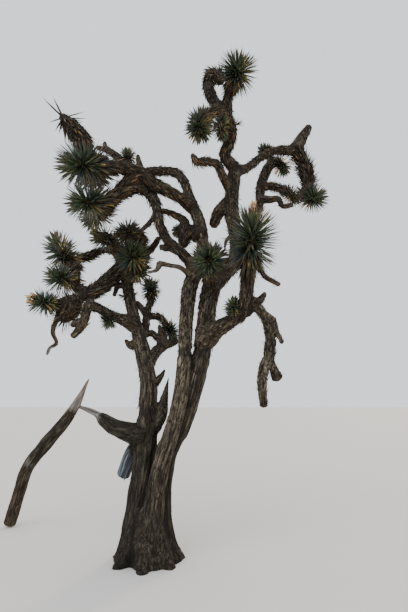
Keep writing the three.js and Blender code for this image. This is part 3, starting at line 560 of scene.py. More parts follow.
def limb_tube(name):
    """A limb's tube, with a collar where it leaves another limb or an overlap where it goes on from it."""
    line = line_of(name)
    radii = line.radii
    places, ways, across, side = line.places, line.ways, line.across, line.side
    parent, share = SPECS[name].get("from", (None, 0))
    if parent and share < 1:
        bearer = line_of(parent)
        buried = 0.8 * np.interp(share, bearer.shares, bearer.radii)
        collar_height = 0.3  # as a share of the radius
        collar_length = 70 * MM
        radii = radii * (1 + collar_height * np.exp(-np.maximum(line.run - buried, 0) / collar_length))
    elif parent:
        overlap = 60 * MM
        places = np.vstack([places[:1] - ways[:1] * overlap, places])
        radii = np.concatenate([radii[:1] * 0.92, radii])
        ways, across, side = (np.vstack([rows[:1], rows]) for rows in (ways, across, side))
    return tube(places, ways, radii, across, side)


def toe_tube(index):
    """One toe of the root flare, from the trunk down and out to the ground."""
    bearing = math.radians(TOE_FIRST_BEARING + 360 / TOE_COUNT * index)
    out = np.array([math.cos(bearing), math.sin(bearing), 0])
    up = np.array([0, 0, 1])
    bends = [out * reach * TOE_REACH + up * height * TOE_TOP for reach, height in TOE_LINE]
    shares = np.linspace(0, 1, 2 * SAMPLES_PER_BEND + 1)
    places = curve_at(np.array(bends) * MM, shares)
    ways = unit(np.gradient(places, axis=0))
    across, side = crosswise(ways)
    return tube(places, ways, along(TOE_GIRTH, shares) * MM / 2, across, side)


def splinters(name, at_tip, count, length):
    """Torn wood at a broken end: slim spikes that stand on from the limb."""
    line = line_of(name)
    end = -1 if at_tip else 0
    way = line.ways[end] * (1 if at_tip else -1)
    rng = np.random.default_rng(len(name) + count)
    spikes = []
    for _ in range(count):
        turn = rng.uniform(0, 2 * math.pi)
        out = line.across[end] * math.cos(turn) + line.side[end] * math.sin(turn)
        foot = line.places[end] + out * line.radii[end] * rng.uniform(0.2, 0.7) - way * 40 * MM
        lean = unit(way + out * rng.uniform(-0.1, 0.22))
        reach = length * rng.uniform(0.45, 1) + 40 * MM
        shares = np.linspace(0, 1, 5)
        places = foot + lean * (reach * shares)[:, None]
        ways = np.tile(lean, (5, 1))
        across, side = crosswise(ways)
        thick = rng.uniform(10, 16) * MM
        spikes.append(tube(places, ways, thick * (1 - 0.75 * shares), across, side, 8))
    return spikes


def fused(name, parts, voxel):
    """One skin over overlapping tubes, with softened joins between them."""
    piece = piece_from(name, *joined(parts))
    remesh = piece.modifiers.new("fuse", "REMESH")
    remesh.mode = "VOXEL"
    remesh.voxel_size = voxel
    smooth = piece.modifiers.new("soften", "SMOOTH")
    smooth.factor = 0.5
    smooth.iterations = SMOOTHINGS
    shape = piece.evaluated_get(bpy.context.evaluated_depsgraph_get())
    rough = piece.data
    piece.data = bpy.data.meshes.new_from_object(shape)
    piece.modifiers.clear()
    bpy.data.meshes.remove(rough)
    piece.data.name = name
    return piece


def cut_at_ground(piece):
    """Takes off what is below the ground and closes the cut flat."""
    shape = bmesh.new()
    shape.from_mesh(piece.data)
    cut = bmesh.ops.bisect_plane(shape, geom=shape.verts[:] + shape.edges[:] + shape.faces[:],
                                 plane_co=(0, 0, 0), plane_no=(0, 0, 1), clear_inner=True)
    rim = [edge for edge in cut["geom_cut"] if isinstance(edge, bmesh.types.BMEdge)]
    soles = bmesh.ops.holes_fill(shape, edges=rim)["faces"]
    bmesh.ops.triangulate(shape, faces=soles)
    shape.to_mesh(piece.data)
    shape.free()


def nearest_on(points, names):
    """The limb and sample that each point lies on, and how much nearer it is than the next limb."""
    own = [line_of(name) for name in names]
    places = np.vstack([line.places for line in own])
    radii = np.concatenate([line.radii for line in own])
    starts = np.cumsum([0] + [len(line.places) for line in own[:-1]])
    sample = np.zeros(len(points), int)
    limb = np.zeros(len(points), int)
    lead = np.zeros(len(points))
    batch = 4000
    for begin in range(0, len(points), batch):
        some = points[begin:begin + batch]
        squares = (some ** 2).sum(1)[:, None] + (places ** 2).sum(1)[None] - 2 * some @ places.T
        gaps = np.sqrt(np.maximum(squares, 0)) - radii
        by_limb = np.minimum.reduceat(gaps, starts, axis=1)
        sample[begin:begin + batch] = gaps.argmin(axis=1)
        limb[begin:begin + batch] = by_limb.argmin(axis=1)
        if len(own) > 1:
            two = np.partition(by_limb, 1, axis=1)[:, :2]
            lead[begin:begin + batch] = two[:, 1] - two[:, 0]
    return limb, sample, lead


def look_along(name, look):
    """A limb's look at each of its samples."""
    values = SPECS[name][look]
    return along(values if isinstance(values, list) else [values], line_of(name).shares)


def skin_facts(points, names):
    """What the bark at each point needs to know of the limb under it."""
    limb, sample, lead = nearest_on(points, names)
    rows = {key: np.concatenate([getattr(line_of(name), key) for name in names])[sample]
            for key in ("places", "ways", "across", "side", "run", "radii")}
    away = points - rows["places"]
    looks = {look: np.concatenate([look_along(name, look) for name in names])[sample] for look in USUAL}
    return {
        "across": (away * rows["across"]).sum(1),
        "side": (away * rows["side"]).sum(1),
        "run": rows["run"] + (away * rows["ways"]).sum(1),
        "radius": rows["radii"],
        "limb": limb,
        "lead": lead,
        **looks,
    }


def by_size(facts, run, wide, tall):
    """Places on a limb's skin in units of a pattern: across, aside and along."""
    return np.column_stack([facts["across"] / wide, facts["side"] / wide, run / tall])


def relief(points, facts):
    """Height of the bark over its limb in metres, its share from crack to crest that paints shade in its
    cracks, and its plates.
    """
    loose = smooth_step(0.1, 0.55, facts["shag"])
    run = facts["run"] + facts["limb"] * 3.7  # so that no two limbs have the same pattern
    radius = facts["radius"]

    # Plates of uneven height, or scales that stand off at their foot, in rows that wander
    wander = drift(by_size(facts, run, WANDER_WIDTH, WANDER_LENGTH), 17) * 0.4
    wide = lerp(PLATE_WIDTH, SCALE_WIDTH, loose)
    tall = lerp(PLATE_HEIGHT, SCALE_HEIGHT, loose)
    grain = by_size(facts, run, wide, tall) + np.outer(wander, (1, -1, 0))
    edge, rise, number = plates(grain, 11)
    crest = smooth_step(0, 0.16, edge)
    corky = crest * (0.75 + 0.25 * number)
    scaly = crest * np.clip(0.8 - 0.8 * rise, 0.1, 1.1)
    share = lerp(corky, scaly, loose)
    depth = np.minimum(PLATE_DEPTH, 0.2 * radius)
    join = lerp(0.3, 1, smooth_step(0, JOIN_WIDTH, facts["lead"]))

    # Furrows on old wood, a crease where stems are fused, and cracked patches without bark
    furrow = smooth_step(0, 0.16, np.abs(drift(by_size(facts, run, FURROW_SPACING, FURROW_LENGTH), 5)))
    old = smooth_step(YOUNG_RADIUS, OLD_RADIUS, radius) * (1 - smooth_step(0.25, 0.6, facts["shag"]))
    bare = smooth_step(0.3, 0.7, facts["bare"] + 0.3 * drift(points / BARE_PATCH_SIZE, 23))
    cracks = drift(by_size(facts, run, CRACK_SPACING, CRACK_LENGTH), 31)
    crease = (1 - smooth_step(0, CREASE_WIDTH, facts["lead"])) * smooth_step(0.05, 0.08, radius)

    height = (share - 0.6) * depth * join
    height -= (1 - furrow) * old * FURROW_DEPTH
    height *= 1 - bare
    height -= crease * CREASE_DEPTH * old
    height += bare * (cracks * 5 - 4) * MM
    height += drift(points / LUMP_SIZE, 3) * 0.06 * radius
    # Painted shade: the bark's colour darkens in its cracks, in furrows on old wood and in the crease
    # between fused stems
    crevice_shade = share * lerp(1, 0.3 + 0.7 * furrow, old) * (1 - 0.75 * crease)
    return height, lerp(crevice_shade, 0.5 + 0.7 * cracks, bare), number, bare


def rows_of(items, key):
    """Three numbers for each corner of a mesh, as an array."""
    rows = np.zeros(len(items) * 3)
    items.foreach_get(key, rows)
    return rows.reshape(-1, 3)


def keep(mesh, name, values):
    """Stores a value or three for each corner of a mesh for its material to read."""
    kind, key = ("FLOAT", "value") if values.ndim == 1 else ("FLOAT_VECTOR", "vector")
    attribute = mesh.attributes.new(name, kind, "POINT")
    attribute.data.foreach_set(key, np.asarray(values, np.float32).ravel())


def under(ways):
    """How much a surface that faces these ways is on the underside."""
    return 0.3 + 0.7 * smooth_step(-0.3, 0.7, -ways[:, 2])


def dress(piece, names):
    """Gives a fused skin the relief of bark, and keeps what its material reads."""
    mesh = piece.data
    points = rows_of(mesh.vertices, "co")
    normals = rows_of(mesh.vertex_normals, "vector")
    facts = skin_facts(points, names)
    height, share, number, bare = relief(points, facts)
    footprint = points[:, 2] < 1 * MM
    points = points + normals * height[:, None]
    points[:, 2] = np.where(footprint, 0, np.maximum(points[:, 2], 0))
    mesh.vertices.foreach_set("co", points.ravel())
    # Painted glow of the low sun: the golden tint is strongest on the underside, but torn wood is tan all
    # over
    gold = np.where(facts["bare"] > 0, facts["gold"], facts["gold"] * under(normals))
    # relief carries the painted shade of cracks, furrows and creases
    kept = {"relief": share, "tone": number, "shag": facts["shag"], "bare": bare, "gold": gold,
            "pale": facts["pale"], "grain": by_size(facts, facts["run"], 1, 1)}
    for name, values in kept.items():
        keep(mesh, name, values)
    mesh.shade_smooth()
    mesh.update()


def finish_piece(piece, nodes):
    """Ties a piece to its body in the frame and hides the solids of the source that it stands for."""
    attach(piece, "root")
    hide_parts(*sorted(nodes))


def bark_piece(region, material):
    """The bark of one part of the tree: a skin fused over its limbs, root toes and torn ends."""
    names = names_in(region)
    parts = [limb_tube(name) for name in names]
    if region == "trunk":
        parts += [toe_tube(index) for index in range(TOE_COUNT)]
    for name, at_tip, count, length in TORN_ENDS.get(region, []):
        parts += splinters(name, at_tip, count, length * MM)
    piece = fused("bark_" + region, parts, DEAD_VOXEL if region == "dead" else BARK_VOXEL)
    if region in ("trunk", "dead"):
        cut_at_ground(piece)
    dress(piece, names)
    piece.data.materials.clear()
    piece.data.materials.append(material)
    finish_piece(piece, {node_of(name) for name in names})


# A blade's cross-sections: place along it, and breadth as a share of its width
DAGGER = [(0, 0.75), (0.2, 1), (0.72, 0.66)]
FLAKE = [(0, 1), (0.55, 0.8)]
BRACT = [(0, 0.8), (0.45, 1)]


def blades(profile, feet, ways, faces_up, lengths, widths, thick, curls):
    """Closed slim blades with a keel below: three corners at each cross-section, one at the tip."""
    sides = np.cross(ways, faces_up)
    corners = []
    for share, broad in profile:
        middle = feet + ways * (lengths * share)[:, None]
        middle = middle + faces_up * (lengths * curls * share ** 2)[:, None]
        half = sides * (widths * broad / 2)[:, None]
        corners += [middle + half, middle - faces_up * (thick * broad)[:, None], middle - half]
    corners.append(feet + ways * lengths[:, None] + faces_up * (lengths * curls)[:, None])
    corners = np.stack(corners, axis=1)
    faces = [(0, 2, 1)]
    last = 3 * len(profile) - 3
    for low in range(0, last, 3):
        for a, b in ((0, 1), (1, 2), (2, 0)):
            faces += [(low + a, low + b, low + 3 + b), (low + a, low + 3 + b, low + 3 + a)]
    tip = last + 3
    faces += [(last, last + 1, tip), (last + 1, last + 2, tip), (last + 2, last, tip)]
    each = corners.shape[1]
    faces = np.array(faces)[None] + (np.arange(len(feet)) * each)[:, None, None]
    return corners.reshape(-1, 3), faces


class Sprays:
    """Blades of one sort, gathered before they become one joined piece."""

    def __init__(self, profile):
        self.profile = profile
        self.batches = []
        self.nodes = set()

    def add(self, name, kept=slice(None), **batch):
        """Adds a batch of blades to a limb, or those that are kept. Every batch has the same columns."""
        self.nodes.add(node_of(name))
        self.batches.append({key: column[kept] for key, column in batch.items()})

    def piece(self, name, materials, slot, tip_kind=None):
        """The joined piece. The faces at a blade's tip may have a material of their own."""
        all_rows = {key: np.concatenate([batch[key] for batch in self.batches]) for key in self.batches[0]}
        kinds = all_rows.pop("kinds")
        corners, faces = blades(self.profile, **all_rows)
        corners[:, 2] = np.maximum(corners[:, 2], 0)
        kinds = np.repeat(kinds, faces.shape[1]).reshape(-1, faces.shape[1])
        if tip_kind is not None:
            kinds[:, -3:] = tip_kind
        made = piece_from(name, corners, faces.reshape(-1, 3), kinds.ravel(), materials)
        finish_piece(made, self.nodes)


def is_free(name, points, clearance):
    """Which points lie outside all of the limbs but the named one."""
    others = [line_of(other) for other in SPECS if other != name]
    places = np.vstack([line.places for line in others])
    radii = np.concatenate([line.radii for line in others])
    squares = (points ** 2).sum(1)[:, None] + (places ** 2).sum(1)[None] - 2 * points @ places.T
    return (np.sqrt(np.maximum(squares, 0)) - radii).min(axis=1) > clearance


def clear_of_limbs(name, feet, ways, lengths, shares):
    """Which blades pass no limb but their own at these shares of their length."""
    free = np.ones(len(feet), bool)
    for share in shares:
        free &= is_free(name, feet + ways * (lengths * share)[:, None], 3 * MM)
    return free


def flat_to(ways, wanted):
    """The upper face of each blade: the part of the wanted way that is square to the blade."""
    return unit(wanted - ways * (wanted * ways).sum(1)[:, None])


def spiral(line, shares, leans, rng):
    """Feet, ways and upper faces of leaves set round a stem by the golden angle."""
    count = len(shares)
    places, ways, radii, across, side = line.frame_at(shares)
    turns = np.radians(np.arange(count) * GOLDEN_ANGLE + rng.uniform(-14, 14, count))
    out = turned(across, side, turns)
    leans = np.radians(leans + rng.uniform(-9, 9, count))
    return places + out * (radii * 0.7)[:, None], turned(ways, out, leans), turned(-out, ways, leans)


FRESH, GREEN, BLUE_GREEN, OLIVE, YELLOWING_AND_SUN_GLOW, GILDED_AND_SUN_GLOW, SPINE, DEAD = range(8)
UMBER, BROWN, GREY, STRAW, GOLDEN_AND_SUNLIT, RUSTY_AND_SUNLIT = range(6)


def live_leaves(name, sprays, rng):
    """A head's green daggers, by the source's spiral carried finer within the same reach."""
    spec = SPECS[name]
    line = line_of(name)
    count = spec["count"] * LEAVES_PER_SOLID
    ages = np.linspace(0, 1, count)
    shares = lerp(0.98, spec["leafy"], ages)
    leans = lerp(YOUNG_LEAF_ANGLE, OLD_LEAF_ANGLE, ages ** 0.8)
    feet, ways, faces_up = spiral(line, shares, leans, rng)
    buried = 0.7 * np.interp(shares, line.shares, line.radii)
    grown = rng.uniform(0.82, 1.04, count) * lerp(0.8, 1, smooth_step(0, 0.2, ages))
    lengths = spec["leaf"] * MM * grown - buried
    kinds = np.clip(np.round(ages * 3 + rng.normal(0, 0.8, count)), FRESH, OLIVE).astype(int)
    # Painted glow of the low sun: leaves that point toward it are coloured yellow and gilded
    lit = smooth_step(-0.2, 0.95, ways @ unit(np.array(LIT_WAY)))
    gilt = spec["gilt"] * lit * smooth_step(0.1, 0.6, ages)
    kinds[rng.random(count) < gilt] = YELLOWING_AND_SUN_GLOW
    kinds[rng.random(count) < 0.45 * gilt] = GILDED_AND_SUN_GLOW
    stale = smooth_step(0.8, 1.05, ages) * 0.5 + spec["withered"]
    kinds[rng.random(count) < stale] = DEAD
    widths = LEAF_WIDTH * rng.uniform(0.85, 1.15, count) * lerp(0.8, 1, spec["leaf"] / 300)
    sprays.add(
        name, clear_of_limbs(name, feet, ways, lengths, (0.45, 0.7, 1)),
        feet=feet, ways=ways, faces_up=faces_up, lengths=lengths, widths=widths,
        thick=widths * LEAF_THICKNESS / LEAF_WIDTH, kinds=kinds,
        curls=lerp(0.05, -0.04, ages) + rng.normal(0, 0.03, count),
    )


def dry_kinds(feet, ways, gold, rng):
    """The tone of each old leaf. Those that face down get golden and rusty tones in patches, as painted glow
    of the low sun.
    """
    count = len(feet)
    straw = 0.08 if gold > 0.05 else 0
    kinds = rng.choice(4, count, p=[0.3, 0.38, 0.32 - straw, straw])
    patch = smooth_step(-0.3, 0.3, drift(feet / 0.09, 47))
    # Painted glow of the low sun on the undersides of old leaves
    lit = rng.random(count) < 0.65 * gold * patch * under(ways)
    kinds[lit] = rng.choice([STRAW, GOLDEN_AND_SUNLIT, RUSTY_AND_SUNLIT], lit.sum(), p=[0.2, 0.45, 0.35])
    return kinds


def skirt(name, sprays, rng):
    """The dead leaves that hang back along the stem below a head's green ones."""
    spec = SPECS[name]
    count = int(spec["count"] * SKIRTS_PER_SOLID * spec["skirt"])
    ages = np.linspace(0, 1, count)
    low = 0.1 if spec["dry"] else max(spec["leafy"] - 0.45, 0.03)
    top = 0.97 if spec["dry"] else lerp(spec["leafy"], 1, 0.3)
    shares = lerp(top, low, ages)
    feet, ways, faces_up = spiral(line_of(name), shares, lerp(*SKIRT_ANGLES, ages ** 0.5), rng)
    ways = unit(ways + np.array([0, 0, -0.25]))
    lengths = spec["leaf"] * MM * rng.uniform(0.45, 0.85, count)
    widths = 0.85 * LEAF_WIDTH * rng.uniform(0.8, 1.1, count)
    sprays.add(
        name, clear_of_limbs(name, feet, ways, lengths, (0.6, 1)),
        feet=feet, ways=ways, faces_up=flat_to(ways, faces_up), lengths=lengths, widths=widths,
        thick=widths * 0.25, kinds=dry_kinds(feet, faces_up, gold_and_sun_glow_of(name), rng),
        curls=rng.normal(-0.06, 0.05, count),
    )


def all_round(name, count, rng):
    """Random places on a limb: share, place, way along, way out and radius."""
    shares = rng.random(count)
    places, ways, radii, across, side = line_of(name).frame_at(shares)
    turns = rng.uniform(0, 2 * math.pi, count)
    return shares, places, ways, turned(across, side, turns), radii


def skin_area(name):
    line = line_of(name)
    return 2 * math.pi * line.radii.mean() * line.run[-1]


def gold_and_sun_glow_of(name):
    return np.mean(SPECS[name]["gold"])


def thatch(name, sprays, rng):
    """Old leaves pressed back along a limb, like shingles."""
    mean_shag = look_along(name, "shag").mean()
    if mean_shag < 0.05:
        return
    spacing = lerp(*SHINGLES_APART, mean_shag) * lerp(*SHINGLE_ROWS_APART, mean_shag) * MM ** 2
    count = int(skin_area(name) / spacing)
    shares, places, ways, out, radii = all_round(name, count, rng)
    shag = np.interp(shares, line_of(name).shares, look_along(name, "shag"))
    lifts = np.radians(lerp(*SHINGLE_LIFTS, shag) * rng.uniform(0.5, 1.6, count))
    point = turned(-ways, out, lifts)
    point = unit(point + np.array([0, 0, -1]) * (0.2 * shag)[:, None])
    feet = places + out * (radii - 1 * MM)[:, None]
    widths = rng.uniform(12, 20, count) * MM
    kept = is_free(name, feet, -4 * MM)
    kept &= rng.random(count) < 0.15 + 0.85 * smooth_step(0.05, 0.5, shag)
    sprays.add(
        name, kept, feet=feet, ways=point, faces_up=flat_to(point, out),
        lengths=lerp(*SHINGLE_LENGTHS, shag) * rng.uniform(0.6, 1.3, count) * MM, widths=widths,
        thick=widths * 0.3, kinds=dry_kinds(feet, out, gold_and_sun_glow_of(name), rng),
        curls=rng.normal(-0.04, 0.06, count),
    )


def fringe(name, sprays, rng):
    """Thin stiff leaf fibres that stand off the bark and feather its outline."""
    shaggy = smooth_step(0.08, 0.35, look_along(name, "shag").mean())
    count = int(skin_area(name) * FIBRES_PER_SQUARE_METRE * shaggy)
    _, places, ways, out, radii = all_round(name, count, rng)
    lifts = np.radians(rng.uniform(15, 75, count))
    point = unit(turned(-ways, out, lifts) + rng.normal(0, 0.2, (count, 3)))
    feet = places + out * (radii - 3 * MM)[:, None]
    widths = rng.uniform(4, 7, count) * MM
    sprays.add(
        name, is_free(name, feet, 0), feet=feet, ways=point, faces_up=flat_to(point, ways),
        lengths=rng.uniform(25, 75, count) * MM, widths=widths, thick=widths * 0.6,
        kinds=rng.choice(4, count, p=[0.4, 0.3, 0.15, 0.15]), curls=rng.normal(-0.1, 0.1, count),
    )


def dead_star(name, leaf, count, sprays, rng):
    """Dead daggers that still stand out all round a withered head and hang below it."""
    line = line_of(name)
    shares = np.linspace(0.98, 0.15, count)
    feet, ways, faces_up = spiral(line, shares, np.linspace(20, 130, count), rng)
    lengths = leaf * MM * rng.uniform(0.55, 1, count)
    widths = rng.uniform(11, 16, count) * MM
    sprays.add(
        name, clear_of_limbs(name, feet, ways, lengths, (0.6, 1)),
        feet=feet, ways=ways, faces_up=faces_up, lengths=lengths, widths=widths, thick=widths * 0.3,
        kinds=dry_kinds(feet, ways, gold_and_sun_glow_of(name), rng),
        curls=rng.normal(-0.05, 0.06, count),
    )


def spikes(name, ways_and_lengths, sprays):
    """The few long dead leaves that stand out stiffly from a dead head's tip."""
    line = line_of(name)
    ways = unit(np.array([row[:3] for row in ways_and_lengths], float))
    lengths = np.array([row[3] for row in ways_and_lengths]) * MM
    count = len(lengths)
    sprays.add(
        name, feet=np.tile(line.places[-1] - line.ways[-1] * 20 * MM, (count, 1)),
        ways=ways, faces_up=flat_to(ways, np.tile([0.2, -1.0, 0.3], (count, 1))), lengths=lengths,
        widths=np.full(count, 24 * MM), thick=np.full(count, 9 * MM), curls=np.zeros(count),
        kinds=np.array([UMBER, GREY, BROWN] * count)[:count],
    )


def sprig(name, share, way, leaf, count, sprays, rng):
    """A small tuft of leaves straight from a limb's bark."""
    line = line_of(name)
    place = line.at([share])[0]
    way = unit(np.array(way, float))
    ways = np.tile(way, (count, 1))
    across, side = crosswise(ways)
    turns = np.radians(np.arange(count) * GOLDEN_ANGLE)
    leans = np.radians(np.linspace(5, 95, count) + rng.uniform(-8, 8, count))
    point = turned(ways, turned(across, side, turns), leans)
    lengths = leaf * MM * rng.uniform(0.7, 1, count)
    widths = np.full(count, 13 * MM)
    radius = np.interp(share, line.shares, line.radii)
    sprays.add(
        name, feet=np.tile(place + way * radius * 0.9, (count, 1)), ways=point,
        faces_up=flat_to(point, ways), lengths=lengths, widths=widths, thick=widths * 0.35,
        curls=rng.normal(0, 0.03, count), kinds=rng.choice([GREEN, OLIVE, YELLOWING_AND_SUN_GLOW, GILDED_AND_SUN_GLOW], count),
    )


def bud(name, foot, way, length, tones, sprays, rng):
    """A flower bud: fleshy pointed bracts that overlap up a cone."""
    count = 16  # bracts
    ages = np.linspace(0, 1, count)
    ways = np.tile(way, (count, 1))
    across, side = crosswise(ways)
    turns = np.radians(np.arange(count) * GOLDEN_ANGLE)
    out = turned(across, side, turns)
    point = turned(ways, out, np.radians(lerp(40, 4, ages)))
    climb = ways * (length * 0.6 * ages)[:, None] + out * (length * 0.16 * (1 - ages))[:, None]
    widths = length * lerp(0.4, 0.2, ages)
    sprays.add(
        name, feet=foot + climb, ways=point, faces_up=flat_to(point, out),
        lengths=length * 0.45 * rng.uniform(0.85, 1.1, count), widths=widths, thick=widths * 0.35,
        curls=np.full(count, -0.12), kinds=rng.choice(tones, count),
    )


def panicle(name, way, reach, start, count, size, tones, sprays, rng):
    """A cluster of buds round the line that goes on from a head's tip."""
    line = line_of(name)
    way = unit(np.array(way, float))
    across, side = crosswise(np.tile(way, (2, 1)))
    for index in range(count):
        turn = math.radians(GOLDEN_ANGLE * index)
        out = across[0] * math.cos(turn) + side[0] * math.sin(turn)
        climb = lerp(start, 1, index / count) * reach * MM
        foot = line.places[-1] + way * climb + out * size * 0.25 * MM
        bud(name, foot, unit(way + out * (1.15 - 0.9 * index / count)), size * MM, tones, sprays, rng)


# Materials

FIRST = 6  # the two colour sockets of a Mix node, and its colour result
SECOND = 7
MIXED = 2


def node(tree, kind, settings=None, links=None):
    """Adds one node. Settings go to its sockets or its own options, links come from other sockets."""
    new = tree.nodes.new(kind)
    for key, value in (settings or {}).items():
        if key == "stops":
            ramp = new.color_ramp
            while len(ramp.elements) < len(value):
                ramp.elements.new(0.5)
            for element, (place, hex_value) in zip(ramp.elements, value):
                element.position = place
                element.color = colour(hex_value)
        elif isinstance(key, int) or key in new.inputs:
            new.inputs[key].default_value = value
        else:
            setattr(new, key, value)
    for key, source in (links or {}).items():
        tree.links.new(source, new.inputs[key])
    return new


def new_material(name, roughness, gloss):
    material = bpy.data.materials.new(name)
    material.use_nodes = True
    tree = material.node_tree
    surface = tree.nodes["Principled BSDF"]
    surface.inputs["Roughness"].default_value = roughness
    surface.inputs["Specular IOR Level"].default_value = gloss
    return material, tree, surface


def stored(tree, name, output="Fac"):
    return node(tree, "ShaderNodeAttribute", {"attribute_name": name}).outputs[output]


def ramp(tree, stops, factor):
    return node(tree, "ShaderNodeValToRGB", {"stops": stops}, {"Fac": factor}).outputs[0]


def maths(tree, operation, first, second):
    """Two numbers worked into one. The second is a socket or a plain number."""
    plain = isinstance(second, (int, float))
    settings = {"operation": operation, **({1: second} if plain else {})}
    links = {0: first, **({} if plain else {1: second})}
    return node(tree, "ShaderNodeMath", settings, links).outputs[0]


def mixed(tree, factor, first, second, blend="MIX"):
    """Two colours mixed by a factor. A factor may be a plain number, a colour a hex value."""
    settings = {"data_type": "RGBA", "blend_type": blend}
    links = {}
    for key, value in ((0, factor), (FIRST, first), (SECOND, second)):
        if isinstance(value, float):
            settings[key] = value
        elif isinstance(value, int):
            settings[key] = colour(value)
        else:
            links[key] = value
    return node(tree, "ShaderNodeMix", settings, links).outputs[MIXED]


def noise(tree, place, sizes, detail):
    """Noise of these sizes in metres across, across and along."""
    scaled = node(tree, "ShaderNodeMapping", {"Scale": tuple(1 / size for size in sizes)}, {"Vector": place})
    return node(tree, "ShaderNodeTexNoise", {"Scale": 1.0, "Detail": detail, "Roughness": 0.6},
                {"Vector": scaled.outputs[0]}).outputs[0]


def bark_material(name, crevice_shade, brown, pale, shaggy, silver, tan):
    """Corky bark: painted shade in its cracks, brown or grey on its plates, with fine fibres along the limb.
    Young wood is darker, painted glow of the low sun tints it golden in patches, and torn wood is tan or has
    silver streaks."""
    material, tree, surface = new_material(name, 0.92, 0.2)
    fibres = noise(tree, stored(tree, "grain", "Vector"), (4 * MM, 4 * MM, 60 * MM), 3.0)
    streaks = noise(tree, stored(tree, "grain", "Vector"), (15 * MM, 15 * MM, 240 * MM), 2.0)
    patches = noise(tree, node(tree, "ShaderNodeTexCoord").outputs["Object"], (130 * MM,) * 3, 4.0)
    tone = stored(tree, "tone")
    old = mixed(tree, stored(tree, "pale"), ramp(tree, brown, tone), ramp(tree, pale, tone))
    face = mixed(tree, stored(tree, "shag"), old, ramp(tree, shaggy, tone))
    face = mixed(tree, 1.0, face, ramp(tree, [(0.3, 0x9a9a9a), (0.7, 0xffffff)], fibres), "MULTIPLY")
    face = mixed(tree, 1.0, face, ramp(tree, [(0.4, 0x8a8681), (0.58, 0xffffff)], streaks), "MULTIPLY")
    face = mixed(tree, 1.0, face, ramp(tree, [(0.35, 0xb8b4ae), (0.65, 0xffffff)], patches), "MULTIPLY")
    gold = stored(tree, "gold")
    # Painted glow of the low sun: a golden tint in patches, strongest on the underside
    face = mixed(tree, maths(tree, "MULTIPLY", gold, patches), face, 0x8c6a45)
    # Painted shade in the cracks of bark and of bare wood
    crevice_shade_mask = ramp(tree, [(0.05, 0x000000), (0.7, 0xffffff)], stored(tree, "relief"))
    bark = mixed(tree, crevice_shade_mask, crevice_shade, face)
    grey = mixed(tree, stored(tree, "pale"), ramp(tree, silver, streaks), 0x979490)
    wood = mixed(tree, gold, grey, ramp(tree, tan, fibres))
    wood = mixed(tree, crevice_shade_mask, 0x2b2a29, wood)
    tree.links.new(mixed(tree, stored(tree, "bare"), bark, wood), surface.inputs["Base Color"])
    bump = node(tree, "ShaderNodeBump", {"Strength": 0.7, "Distance": 2 * MM}, {"Height": fibres})
    tree.links.new(bump.outputs[0], surface.inputs["Normal"])
    return material


def leaf_material(name, hex_value, roughness, gloss):
    """A tough waxy leaf or a dry papery one, in one plain colour. Its fine ribs break up the shine."""
    material, tree, surface = new_material(name, roughness, gloss)
    place = node(tree, "ShaderNodeTexCoord").outputs["Object"]
    bump = node(tree, "ShaderNodeBump", {"Strength": 0.35, "Distance": 1 * MM},
                {"Height": noise(tree, place, (6 * MM,) * 3, 2.0)})
    tree.links.new(bump.outputs[0], surface.inputs["Normal"])
    surface.inputs["Base Color"].default_value = colour(hex_value)
    return material


def leaf_set(names_and_colours, roughness, gloss):
    return [leaf_material(name, hex_value, roughness, gloss) for name, hex_value in names_and_colours]


# Stage

def make_stage():
    """A pale floor, an even bright sky and a low warm sun behind the tree on its right."""
    half = 60  # of the floor's width, in metres
    floor = piece_from("floor", [(-half, -half, 0), (half, -half, 0), (half, half, 0), (-half, half, 0)],
                       [(0, 1, 2), (0, 2, 3)])
    floor.location.z = -1 * MM
    material, _, surface = new_material("pale matt floor", 0.95, 0.2)
    surface.inputs["Base Color"].default_value = colour(0xd2cfc9)
    floor.data.materials.append(material)
    world = bpy.data.worlds.new("soft studio")
    world.use_nodes = True
    back = world.node_tree.nodes["Background"]
    back.inputs["Color"].default_value = colour(0xe8edf2)
    back.inputs["Strength"].default_value = 1.5
    bpy.context.scene.world = world
    add_sun("low sun", (0.5, 1, 0.3), 2.2, 14, 0xffcf95)
    add_sun("sky from the front", (-0.5, -1, 0.9), 1.5, 60, 0xf4f6ff)


def add_sun(name, comes_from, strength, spread, tint):
    light = bpy.data.lights.new(name, "SUN")
    light.energy = strength
    light.angle = math.radians(spread)
    light.color = colour(tint)[:3]
    lamp = bpy.data.objects.new(name, light)
    bpy.context.scene.collection.objects.link(lamp)
    x, y, z = comes_from
    lamp.rotation_euler = (math.atan2(math.hypot(x, y), z), 0, math.atan2(y, x) + math.pi / 2)


def make_camera():
    """The photograph's view: eye height, tilted up, a wide lens."""
    camera = bpy.data.cameras.new("camera")
    camera.lens = 24
    camera.sensor_width = 36
    stand = bpy.data.objects.new("camera", camera)
    bpy.context.scene.collection.objects.link(stand)
    stand.location = (0.57, -4.55, 1.6)
    tilt_up = 12.5
    stand.rotation_euler = (math.radians(90 + tilt_up), 0, 0)
    bpy.context.scene.camera = stand


# Everything is made and tied to the frame

make_camera()
make_stage()

